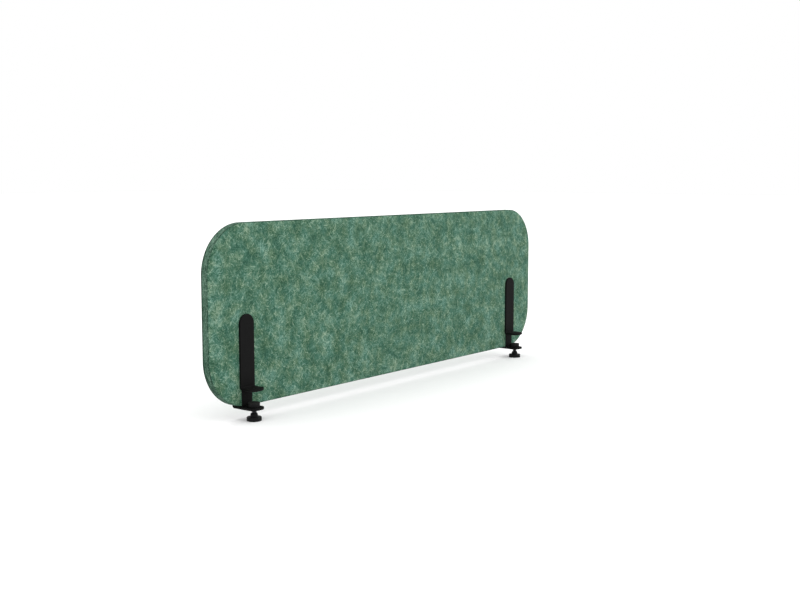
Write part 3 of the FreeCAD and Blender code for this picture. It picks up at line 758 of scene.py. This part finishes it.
def cutter_along_y(centres, radius, start, end):
    """Points and faces of one closed cylinder along Y at each (x, z)."""
    points, faces = [], []
    for x, z in centres:
        first = len(points)
        for y in (start, end):
            points += [(x + radius * math.cos(2 * math.pi * k / HOLE_SIDES), y,
                        z + radius * math.sin(2 * math.pi * k / HOLE_SIDES)) for k in range(HOLE_SIDES)]
        ring = range(HOLE_SIDES)
        faces += [(first + k, first + (k + 1) % HOLE_SIDES,
                   first + HOLE_SIDES + (k + 1) % HOLE_SIDES, first + HOLE_SIDES + k) for k in ring]
        faces.append(tuple(first + k for k in reversed(ring)))
        faces.append(tuple(first + HOLE_SIDES + k for k in ring))
    return points, faces


hole_centres = []
for side in SIDES:
    low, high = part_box(f"{side}_spacer_sleeves")
    sleeve_radius = (high.x - low.x) / 2
    middle_x = (high.x + low.x) / 2
    hole_centres += [(middle_x, low.z + sleeve_radius), (middle_x, high.z - sleeve_radius)]
cutter_mesh = bpy.data.meshes.new("sleeve_cutter")
cutter_points, cutter_faces = cutter_along_y(hole_centres, sleeve_radius + SLEEVE_PLAY,
                                             board_low.y - PAST_THE_FACES,
                                             board_high.y + PAST_THE_FACES)
cutter_mesh.from_pydata(cutter_points, [], cutter_faces)
cutter = bpy.data.objects.new("sleeve_cutter", cutter_mesh)
bpy.context.scene.collection.objects.link(cutter)
drill = felt_board.modifiers.new("sleeve_holes", "BOOLEAN")
drill.object = cutter
drill.operation = "DIFFERENCE"
drill.solver = "EXACT"
drilled = bpy.data.meshes.new_from_object(felt_board.evaluated_get(
    bpy.context.evaluated_depsgraph_get()))
felt_board.modifiers.clear()
felt_board.data = drilled
bpy.data.objects.remove(cutter)
print("drilled", len(hole_centres), "holes of", round(2 * (sleeve_radius + SLEEVE_PLAY) / MM, 1), "mm")

# %% [markdown]
# ## Turned and moulded round parts
# The screw, the pad and the knob are all round. A lathe cuts them, or a mould that a lathe made.
# Blender has a Screw modifier for this. A short function shows better what happens: take a side
# view, soften its corners as a cutter or a mould would, and carry it round an axis.
# Each corner is (distance from the axis, height, how much the corner is rounded), in millimetres.

# %% Lathe helpers
CURVE_STEPS = 4


def soften(corners):
    """The side view with each corner replaced by a short curve of its own size."""
    path = []
    for i, (r, z, rounding) in enumerate(corners):
        here = Vector((r, z))
        if not rounding or i in (0, len(corners) - 1):
            path.append(here)
            continue
        before = Vector(corners[i - 1][:2]) - here
        after = Vector(corners[i + 1][:2]) - here
        start = here + before.normalized() * min(rounding, before.length * 0.49)
        end = here + after.normalized() * min(rounding, after.length * 0.49)
        for k in range(CURVE_STEPS + 1):
            t = k / CURVE_STEPS
            path.append(start.lerp(here, t).lerp(here.lerp(end, t), t))
    return path


def turn(path, centre, segments, reshape=None):
    """Carries a side view that starts and ends on the axis round it. reshape may change a radius."""
    points = [(centre[0], centre[1], path[0].y * MM)]
    for place in path[1:-1]:
        for k in range(segments):
            angle = 2 * math.pi * k / segments
            radius = reshape(place, angle) if reshape else place.x
            points.append((centre[0] + radius * MM * math.cos(angle),
                           centre[1] + radius * MM * math.sin(angle), place.y * MM))
    last = len(points)
    points.append((centre[0], centre[1], path[-1].y * MM))
    rings = len(path) - 2
    faces = []
    for k in range(segments):
        after = (k + 1) % segments
        faces.append((0, 1 + after, 1 + k))
        for ring in range(rings - 1):
            low, high = 1 + ring * segments, 1 + (ring + 1) * segments
            faces.append((low + k, low + after, high + after, high + k))
        top = 1 + (rings - 1) * segments
        faces.append((top + k, top + after, last))
    return points, faces


def axis_of(node):
    """The place of a round CAD node's axis, in metres."""
    low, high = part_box(node)
    return (low.x + high.x) / 2, (low.y + high.y) / 2


print("a softened square corner has", len(soften([(0, 0, 0), (5, 0, 1), (5, 5, 0)])), "points")

# %% [markdown]
# ## The clamp screw
# It is a trapezoidal thread, 14 mm across with 3 mm between turns: broad flat crests that take a
# push all day, where a pointed bolt thread would wear. A picture of rings would be wrong, because
# rings never climb. So a ridge with the thread's own section is swept up a right-handed helix, and
# it dies into the core at both ends, as a rolled thread does. When the knob makes one turn, the
# joint lifts the screw by one pitch, so the thread always meets the bush in the same place.

# %% Sizes of the clamp screw
PITCH = 3.0
CREST_WIDTH = 0.366 * PITCH
CREST_CLEARANCE = 0.25
THREAD_DEPTH = 0.5 * PITCH + CREST_CLEARANCE
FLANK_SLOPE = math.tan(math.radians(15))
STEPS_A_TURN = 40
RUN_OUT = 0.35
NECK_RADIUS = 2.6
BALL_RADIUS = 4.0
TANG_LENGTH = 14.0
NECK_TOP_GAP = 3.1
RIDGE_ROOT = 0.2
RIDGE_SUNK = 0.1
ROUND_STEPS = 48
BALL_STEPS = 16


def round_sizes(node):
    """A round CAD node's axis in metres, then its radius, foot and top in millimetres."""
    low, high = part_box(node)
    return axis_of(node), (high.x - low.x) / 2 / MM, low.z / MM, high.z / MM


def screw_sizes(side):
    """What the knob and the pad have to fit: the thread's radius, its core, the foot, the ball."""
    _, thread_radius, tang_foot, ball_top = round_sizes(f"{side}_clamp_spindle")
    return thread_radius, thread_radius - THREAD_DEPTH, tang_foot, ball_top - BALL_RADIUS


print("thread:", round(2 * screw_sizes("left")[0]), "mm across, core",
      round(2 * screw_sizes("left")[1], 1), "mm")

# %% [markdown]
# ## The ridge of the thread
# Four points make the ridge's section: two in the core and two on the crest. Each step turns them a
# little about the axis and lifts them by the same share of the pitch, and the sections are joined.

# %% Thread ridge
def thread_ridge(centre, radius, low, high):
    """A closed ridge that climbs from one height to another, in millimetres, round the core."""
    core = radius - THREAD_DEPTH
    foot_width = CREST_WIDTH + 2 * THREAD_DEPTH * FLANK_SLOPE
    climb = high - low - foot_width
    steps = round(climb / PITCH * STEPS_A_TURN)
    points, faces = [], []
    for k in range(steps + 1):
        turns = k / STEPS_A_TURN
        grown = float(smooth_step(min(turns, steps / STEPS_A_TURN - turns) / RUN_OUT))
        crest = core - RIDGE_SUNK + (THREAD_DEPTH + RIDGE_SUNK) * grown
        height = low + foot_width / 2 + turns * PITCH
        angle = 2 * math.pi * turns
        for r, z in ((core - RIDGE_ROOT, -foot_width / 2), (crest, -CREST_WIDTH / 2),
                     (crest, CREST_WIDTH / 2), (core - RIDGE_ROOT, foot_width / 2)):
            points.append((centre[0] + r * MM * math.cos(angle),
                           centre[1] + r * MM * math.sin(angle), (height + z) * MM))
    for k in range(steps):
        a, b = 4 * k, 4 * k + 4
        faces += [(a + i, a + (i + 1) % 4, b + (i + 1) % 4, b + i) for i in range(4)]
    faces += [(3, 2, 1, 0), tuple(4 * steps + i for i in range(4))]
    return points, faces


print("ridge:", STEPS_A_TURN, "steps to a turn, crest", round(CREST_WIDTH, 2), "mm wide")

# %% [markdown]
# ## The screw's core
# Below the thread a slightly thinner tang goes down into the knob. Above it a neck carries the ball.

# %% Clamp screw
CORE_CHAMFER = 0.8
TANG_STEP = 0.3

for side in SIDES:
    node = f"{side}_clamp_spindle"
    centre = axis_of(node)
    thread_radius, core, tang_foot, ball_middle = screw_sizes(side)
    thread_low = tang_foot + TANG_LENGTH
    thread_high = ball_middle - NECK_TOP_GAP
    neck_angle = math.asin(NECK_RADIUS / BALL_RADIUS)
    ball_arc = [(BALL_RADIUS * math.sin(a), ball_middle - BALL_RADIUS * math.cos(a), 0)
                for a in np.linspace(neck_angle, math.pi, BALL_STEPS)]
    side_view = [(0, tang_foot, 0), (core - TANG_STEP, tang_foot, 0.6), (core - TANG_STEP, thread_low, 0),
                 (core, thread_low, 0), (core, thread_high - CORE_CHAMFER, 0.4),
                 (core - CORE_CHAMFER, thread_high, 0.3), (NECK_RADIUS, thread_high, 0.4)] + ball_arc
    core_points, core_faces = turn(soften(side_view), centre, ROUND_STEPS)
    ridge_points, ridge_faces = thread_ridge(centre, thread_radius, thread_low, thread_high)
    shift = len(core_points)
    new_piece(f"{side}_screw_with_thread", core_points + ridge_points,
              core_faces + [tuple(shift + v for v in face) for face in ridge_faces],
              [metals["blackened_steel"]], f"{side}_screw", [node])
print("screws:", len(SIDES), "with", round((thread_high - thread_low) / PITCH, 1), "turns of thread each")

# %% [markdown]
# ## The knob
# Fingers need something to push on, so the rim has shallow scallops. Cutting 24 grooves with
# Booleans would leave knife edges that no mould can fill. Here the radius itself is a wave: it dips
# between the lobes and comes back, and it fades to a plain circle on the way in to the hub.
# The hub keeps the finger grip low, away from the desk, and its cone leads up to the screw. Below,
# a shallow dish has a small raised disc at its middle, left where the nylon ran into the mould.

# %% Knob
LOBES = 24
SCALLOP_DEPTH = 0.75
STEPS_A_LOBE = 10
GRIP_HEIGHT = 11.25
HUB_RADIUS = 10.2
CONE_HEIGHT = 3.0
CONE_TOP_RADIUS = 7.6
DISH_RADIUS = 14.0
DISH_DEPTH = 1.2
SOCKET_DEPTH = 2.5
RIM_WIDTH = 4
DISH_SLOPE = 0.5
SHOULDER_RISE = 0.3
HUB_DRAFT = 0.3
GATE_RADIUS = 2.2
GATE_HEIGHT = 0.4
GATE_SLOPE = 0.4


def scalloped(rim_radius):
    """A reshape function for turn: lobes at the rim that fade out towards the hub."""
    def reshape(place, angle):
        near_rim = float(smooth_step((place.x - rim_radius + RIM_WIDTH) / RIM_WIDTH))
        dip = (0.5 - 0.5 * math.cos(LOBES * angle)) ** 1.5
        return place.x - SCALLOP_DEPTH * near_rim * dip
    return reshape


for side in SIDES:
    node = f"{side}_clamp_knob"
    centre, rim_radius, foot, top = round_sizes(node)
    thread_radius, core, tang_foot, _ = screw_sizes(side)
    grip_top = foot + GRIP_HEIGHT
    dish, gate = foot + DISH_DEPTH, foot + DISH_DEPTH - GATE_HEIGHT
    side_view = [
        (0, gate, 0), (GATE_RADIUS, gate, 0.3), (GATE_RADIUS + GATE_SLOPE, dish, 0.2),
        (DISH_RADIUS - DISH_SLOPE, dish, 0.5), (DISH_RADIUS, foot, 0.5),
        (rim_radius - RIM_WIDTH, foot, 0), (rim_radius, foot, 1.8), (rim_radius, grip_top, 2.2),
        (rim_radius - RIM_WIDTH, grip_top + SHOULDER_RISE / 2, 0.5),
        (HUB_RADIUS + HUB_DRAFT, grip_top + SHOULDER_RISE, 1.2), (HUB_RADIUS, top - CONE_HEIGHT, 0.9),
        (CONE_TOP_RADIUS, top, 0.35), (thread_radius, top, 0), (thread_radius, top - SOCKET_DEPTH, 0),
        (core, top - SOCKET_DEPTH, 0), (core, tang_foot, 0), (0, tang_foot, 0)]
    knob_points, knob_faces = turn(soften(side_view), centre, LOBES * STEPS_A_LOBE,
                                   scalloped(rim_radius))
    new_piece(f"{side}_knob", knob_points, knob_faces, [nylon], f"{side}_screw", [node])
print("knob:", LOBES, "lobes,", round(2 * math.pi * rim_radius / LOBES, 1), "mm apart")

# %% [markdown]
# ## The pressure pad
# The pad snaps over the screw's ball, so that it can lie flat on a desk while the screw turns in it.
# It is moulded, with the rounded rim and the slight taper that let it out of the mould.

# %% Pressure pad
RECESS_RADIUS = 12.5
RECESS_DEPTH = 2.0
BALL_PLAY = 0.2
PAD_TAPER = 0.25
PAD_RIM = 1.2
RECESS_SLOPE = 0.2
PAD_STEPS = 96
SOCKET_STEPS = 14


def make_pad(side):
    """The moulded pad, with a round socket for the ball in its underside."""
    node = f"{side}_pressure_pad"
    centre, pad_radius, foot, top = round_sizes(node)
    _, _, _, ball_middle = screw_sizes(side)
    socket_radius = BALL_RADIUS + BALL_PLAY
    mouth = math.acos((ball_middle - foot - RECESS_DEPTH) / socket_radius)
    socket_arc = [(socket_radius * math.sin(a), ball_middle - socket_radius * math.cos(a), 0)
                  for a in np.linspace(math.pi, mouth, SOCKET_STEPS)]
    side_view = socket_arc + [
        (RECESS_RADIUS - RECESS_SLOPE, foot + RECESS_DEPTH, 0.4), (RECESS_RADIUS, foot, 0.3),
        (pad_radius - PAD_TAPER, foot, 0.8), (pad_radius, top - PAD_RIM, 0.2), (pad_radius, top, 0.5),
        (0, top, 0)]
    pad_points, pad_faces = turn(soften(side_view), centre, PAD_STEPS)
    new_piece(f"{side}_pad", pad_points, pad_faces, [nylon], f"{side}_pad", [node])


print("pad: the ball has", BALL_PLAY, "mm of play in its socket")

# %% [markdown]
# ## The pad's rubber disc
# A flat disc would slide on a lacquered desk. This one has grooves, which give the rubber somewhere
# to go when it is pressed. They are rings, so they come from the side view with no further work.

# %% Ringed facing
RING_WIDTH = 1.3
RING_DEPTH = 0.45
RINGS = (4.5, 8.0, 11.5)


def make_facing(side):
    """The rubber disc on the pad, with a groove at each ring."""
    node = f"{side}_pad_facing"
    _, _, foot, top = round_sizes(node)
    centre, pad_radius, _, _ = round_sizes(f"{side}_pressure_pad")
    side_view = [(0, foot, 0), (pad_radius, foot, 0.1), (pad_radius, top, 1.0)]
    for ring in reversed(RINGS):
        groove = top - RING_DEPTH
        side_view += [(ring + RING_WIDTH / 2, top, 0.25), (ring + RING_WIDTH / 3, groove, 0.2),
                      (ring - RING_WIDTH / 3, groove, 0.2), (ring - RING_WIDTH / 2, top, 0.25)]
    side_view.append((0, top, 0))
    ring_points, ring_faces = turn(soften(side_view), centre, PAD_STEPS)
    new_piece(f"{side}_ringed_facing", ring_points, ring_faces, [rubber], f"{side}_pad",
              [node])


for side in SIDES:
    make_pad(side)
    make_facing(side)
print("pads:", len(SIDES), "with", len(RINGS), "grooves in the rubber of each")

# %% [markdown]
# ## The jaw's rubber liner
# The liner under the upper jaw follows the jaw's round nose. Its underside is ribbed across, so it
# grips a desk that someone leans on. The ribs run straight, so the piece is built in rows: each row
# is one cut across the liner, as wide as the outline is there and as deep as the rib is there.

# %% Jaw liner
RIB_PITCH = 3.2
RIB_DEPTH = 0.55
LINER_EDGE = 0.4
LINER_NOSE_RADIUS = 17.0
ROW_STEP = 0.4
RIB_FADE = 1.5
LINER_COLUMNS = 28


def liner_half_width(y, nose_y, half):
    """Half the liner's width at a place along its length, with the nose's two round corners."""
    into_corner = np.clip(LINER_NOSE_RADIUS - (y - nose_y), 0, LINER_NOSE_RADIUS)
    return half - LINER_NOSE_RADIUS + np.sqrt(LINER_NOSE_RADIUS ** 2 - into_corner ** 2)


for side in SIDES:
    node = f"{side}_jaw_liner"
    low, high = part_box(node)
    middle = (low.x + high.x) / 2 / MM
    half = (high.x - low.x) / 2 / MM
    nose_y, root_y = low.y / MM, high.y / MM
    rows_y = np.linspace(nose_y, root_y, round((root_y - nose_y) / ROW_STEP) + 1)
    liner_points, liner_faces = [], []
    for y in rows_y:
        end_gap = min(y - nose_y, root_y - y)
        rib = 0.5 - 0.5 * math.cos(2 * math.pi * (y - nose_y) / RIB_PITCH)
        width = liner_half_width(y, nose_y, half)
        for j in range(LINER_COLUMNS + 1):
            share = 2 * j / LINER_COLUMNS - 1
            x = width * math.sin(share * math.pi / 2)
            rim_gap = min(width - abs(x), end_gap)
            lift = LINER_EDGE * (1 - float(smooth_step(rim_gap / (2 * LINER_EDGE))))
            under = low.z / MM + RIB_DEPTH * rib * float(smooth_step(rim_gap / RIB_FADE)) + lift
            liner_points.append(((middle + x) * MM, y * MM, under * MM))
    below = len(liner_points)
    liner_points += [(x, y, high.z) for x, y, z in liner_points]
    line = LINER_COLUMNS + 1
    for i in range(len(rows_y) - 1):
        for j in range(LINER_COLUMNS):
            a = i * line + j
            liner_faces.append((a, a + line, a + line + 1, a + 1))
            liner_faces.append((below + a, below + a + 1, below + a + line + 1, below + a + line))
    rim = [i * line + j for i, j in rim_loop(len(rows_y), line)]
    for here, there in zip(rim, rim[1:] + rim[:1]):
        liner_faces.append((here, there, below + there, below + here))
    new_piece(f"{side}_ribbed_liner", liner_points, liner_faces, [rubber], "root", [node])
print("liner:", round((root_y - nose_y) / RIB_PITCH), "ribs")

# %% [markdown]
# ## Loose fibres
# Felt is never quite closed. Ends of fibres stand out of it, and most of all along a cut. They could
# be a hair particle system, which an exported model loses, so they are thin tapered tubes in one
# mesh. They are drawn about seven times too thick, because a real one would be too fine to show.
# The draws come from one seeded generator, so the board has the same fibres every time.
# Their colours run from the darkest dye to fibres that took almost none.

# %% Sizes and finish of the fibres
FACE_FIBRES = 1700
EDGE_FIBRES = 600
FIBRE_LENGTH_MM = (5.0, 13.0)
FIBRE_RADIUS_MM = 0.10
FIBRE_STEPS = 5
FIBRE_CURL = 2.6
FIBRE_LIFT_MM = 0.8
LEAST_LIFT = 0.1
CLEAR_OF_PLATES = 14 * MM
CLEAR_OF_RIM = 0.985
ROOT_DEPTH_MM = 0.15
TIP_THINNER = 0.75
CLEAR_OF_ARRIS = 1 * MM
DYE_MM = 9

loose_fibre, tree, shader, mm = new_material("loose_polyester_fibre")
dyes = add(tree, "ShaderNodeTexNoise", {"Vector": mm, "Scale": 1 / DYE_MM, "Detail": 1.0})
dye_share = add(tree, "ShaderNodeMapRange", {"Value": dyes.outputs["Fac"], "From Min": 0.3,
                                             "From Max": 0.7})
tree.links.new(colour_steps(tree, dye_share.outputs[0], ["#22503B", "#4C7A63", "#7D9C85", "#A5B59F"]),
               shader.inputs["Base Color"])
shader.inputs["Roughness"].default_value = 0.6
shader.inputs["IOR"].default_value = 1.57
shader.inputs["Specular IOR Level"].default_value = 0.2
print("fibres are", 2 * FIBRE_RADIUS_MM, "mm thick at the root")

# %% [markdown]
# ## From a root to a tapered tube
# A fibre starts a little under the surface, curls within it, and lifts more and more towards its
# tip. All fibres are worked out at once, as whole arrays, because thousands of single loops would be
# slow. Three corners make each ring, which is enough for something this thin.

# %% Tubes
FIBRE_SEED = 11
draw = np.random.default_rng(FIBRE_SEED)


def fibre_tubes(roots, first_ways, outs):
    """Points and faces of a tapered tube from each root, curling within the surface and lifting."""
    count = len(roots)
    length = draw.uniform(*FIBRE_LENGTH_MM, (count, 1)) * MM
    curl = draw.normal(0, FIBRE_CURL, (count, 1))
    lift = draw.uniform(LEAST_LIFT, 1.0, (count, 1)) * FIBRE_LIFT_MM * MM
    across = np.cross(outs, first_ways)
    place = roots.copy()
    lines = []
    for k in range(FIBRE_STEPS + 1):
        t = k / FIBRE_STEPS
        way = first_ways * np.cos(curl * t) + across * np.sin(curl * t)
        lines.append((place + outs * (lift * t * t - ROOT_DEPTH_MM * MM * (1 - t)), way))
        place = place + way * length / FIBRE_STEPS
    points = np.empty((count, FIBRE_STEPS + 1, 3, 3))
    for k, (centre, way) in enumerate(lines):
        beside = np.cross(outs, way)
        radius = FIBRE_RADIUS_MM * MM * (1 - TIP_THINNER * k / FIBRE_STEPS)
        for corner in range(3):
            angle = 2 * math.pi * corner / 3
            points[:, k, corner] = centre + radius * (math.cos(angle) * outs + math.sin(angle) * beside)
    tube = []
    for k in range(FIBRE_STEPS):
        a, b = 3 * k, 3 * k + 3
        tube += [(a + i, a + (i + 1) % 3, b + (i + 1) % 3, b + i) for i in range(3)]
    end = 3 * FIBRE_STEPS
    caps = [(2, 1, 0), (end, end + 1, end + 2)]
    size = 3 * (FIBRE_STEPS + 1)
    faces = [tuple(f * size + v for v in face) for f in range(count) for face in tube + caps]
    return points.reshape(-1, 3), faces


print("each fibre has", 3 * FIBRE_STEPS + 2, "faces")

# %% [markdown]
# ## Where fibres grow
# On a face they grow anywhere that no steel covers. On the cut edge each one starts at a stop of the
# outline, and its direction may run along the edge or across it.

# %% Roots
def face_roots(count, y, out):
    """Places on a face of the board that no plate covers, with a direction in the face for each."""
    x = draw.uniform(-half_x, half_x, count) * CLEAR_OF_RIM
    z = draw.uniform(-half_z, half_z, count) * CLEAR_OF_RIM
    x, z = into_round_corners(x, z, half_x, half_z, face_radius)
    x, z = x + board_centre.x, z + board_centre.z
    stand_out = smooth_step(gap_to_plates(x, z) / SWELL_REACH) * SWELL
    keep = gap_to_plates(x, z) > CLEAR_OF_PLATES
    roots = np.stack([x, y + out * stand_out, z], -1)[keep]
    angle = draw.uniform(0, 2 * math.pi, len(roots))
    ways = np.stack([np.cos(angle), np.zeros(len(roots)), np.sin(angle)], -1)
    return roots, ways, np.tile((0.0, out, 0.0), (len(roots), 1))


def edge_roots(count):
    """Places on the cut edge, with a direction along the edge or across it for each."""
    roots, ways, outs = [], [], []
    for _ in range(count):
        i, j = loop[draw.integers(len(loop))]
        out = rim_normal(face_x[i, j], face_z[i, j])
        deep = draw.uniform(CLEAR_OF_ARRIS, board_high.y - board_low.y - CLEAR_OF_ARRIS)
        reach = SOFT_EDGE - LAYER_RELIEF
        roots.append((face_x[i, j] + board_centre.x + out[0] * reach, board_low.y + deep,
                      face_z[i, j] + board_centre.z + out[1] * reach))
        angle = draw.uniform(0, 2 * math.pi)
        ways.append((-out[1] * math.cos(angle), math.sin(angle), out[0] * math.cos(angle)))
        outs.append((out[0], 0.0, out[1]))
    return np.array(roots), np.array(ways), np.array(outs)


print("roots keep", round(CLEAR_OF_PLATES / MM), "mm away from the plates")

# %% [markdown]
# ## One mesh of fibres
# Front, rear and edge are drawn in a fixed order from the same generator, and joined in one piece.

# %% Loose fibres
fibre_points, fibre_faces = [], []
for roots in (face_roots(FACE_FIBRES, board_low.y, -1.0), face_roots(FACE_FIBRES, board_high.y, 1.0),
              edge_roots(EDGE_FIBRES)):
    tube_points, tube_faces = fibre_tubes(*roots)
    shift = sum(len(p) for p in fibre_points)
    fibre_points.append(tube_points)
    fibre_faces += [tuple(shift + v for v in face) for face in tube_faces]
new_piece("loose_fibres", np.concatenate(fibre_points), fibre_faces, [loose_fibre], "root")
print("fibres:", len(fibre_faces) // (3 * FIBRE_STEPS + 2))

# %% [markdown]
# ## The stage
# One plain pale floor lies at the lowest point of the object. A curved backdrop would hide its far
# edge too, but this floor is so wide, and the room behind it so white, that no horizon shows.
# The light is mostly that white room, which gives black things no hard glare.
# Two suns, each as wide as a skylight, do the rest. The one in the ceiling makes the floor white and
# drops a soft shadow straight down. The one in front lifts the face a little over the ends.
# A sun shines evenly however far the floor goes, where a lamp would leave its far end grey.

# %% Floor, sky and suns
FLOOR_COLOUR = "#E7E7E7"
FLOOR_REACH = 30
PAPER_GRAIN_MM = 2
PAPER_RELIEF_MM = 0.02
SKY_STRENGTH = 1.0
SUNS = {
    "ceiling": dict(lean=(0.0, -0.06), strength=1.9, spread=120),
    "window": dict(lean=(0.9, -2.4), strength=0.55, spread=60),
}

floor_finish, tree, shader, mm = new_material("studio_paper")
paper = add(tree, "ShaderNodeTexNoise", {"Vector": mm, "Scale": 1 / PAPER_GRAIN_MM, "Detail": 1.0})
paper_bump = add(tree, "ShaderNodeBump", {"Height": paper.outputs["Fac"],
                                          "Distance": PAPER_RELIEF_MM * MM, "Strength": 0.1})
shader.inputs["Base Color"].default_value = linear(FLOOR_COLOUR)
shader.inputs["Roughness"].default_value = 0.9
shader.inputs["Specular IOR Level"].default_value = 0.1
tree.links.new(paper_bump.outputs[0], shader.inputs["Normal"])

floor_z = CAD_BOUNDS[0][2]
floor_mesh = bpy.data.meshes.new("studio_floor")
floor_corners = [(x * FLOOR_REACH, y * FLOOR_REACH, floor_z)
                 for x, y in ((-1, -1), (1, -1), (1, 1), (-1, 1))]
floor_mesh.from_pydata(floor_corners, [], [(0, 1, 2, 3)])
floor_mesh.materials.append(floor_finish)
studio_floor = bpy.data.objects.new("studio_floor", floor_mesh)
bpy.context.scene.collection.objects.link(studio_floor)

world = bpy.data.worlds.new("studio_room")
bpy.context.scene.world = world
world.use_nodes = True
background = world.node_tree.nodes["Background"]
background.inputs["Color"].default_value = (1.0, 1.0, 1.0, 1.0)
background.inputs["Strength"].default_value = SKY_STRENGTH

for sun_name, sun in SUNS.items():
    light = bpy.data.lights.new(sun_name, "SUN")
    light.energy = sun["strength"]
    light.angle = math.radians(sun["spread"])
    holder = bpy.data.objects.new(sun_name, light)
    bpy.context.scene.collection.objects.link(holder)
    holder.rotation_euler = Vector((*sun["lean"], 1.0)).to_track_quat("Z", "Y").to_euler()
bpy.context.scene.view_settings.view_transform = "Standard"
print("stage: floor at", round(floor_z / MM, 1), "mm and", len(SUNS), "soft suns")
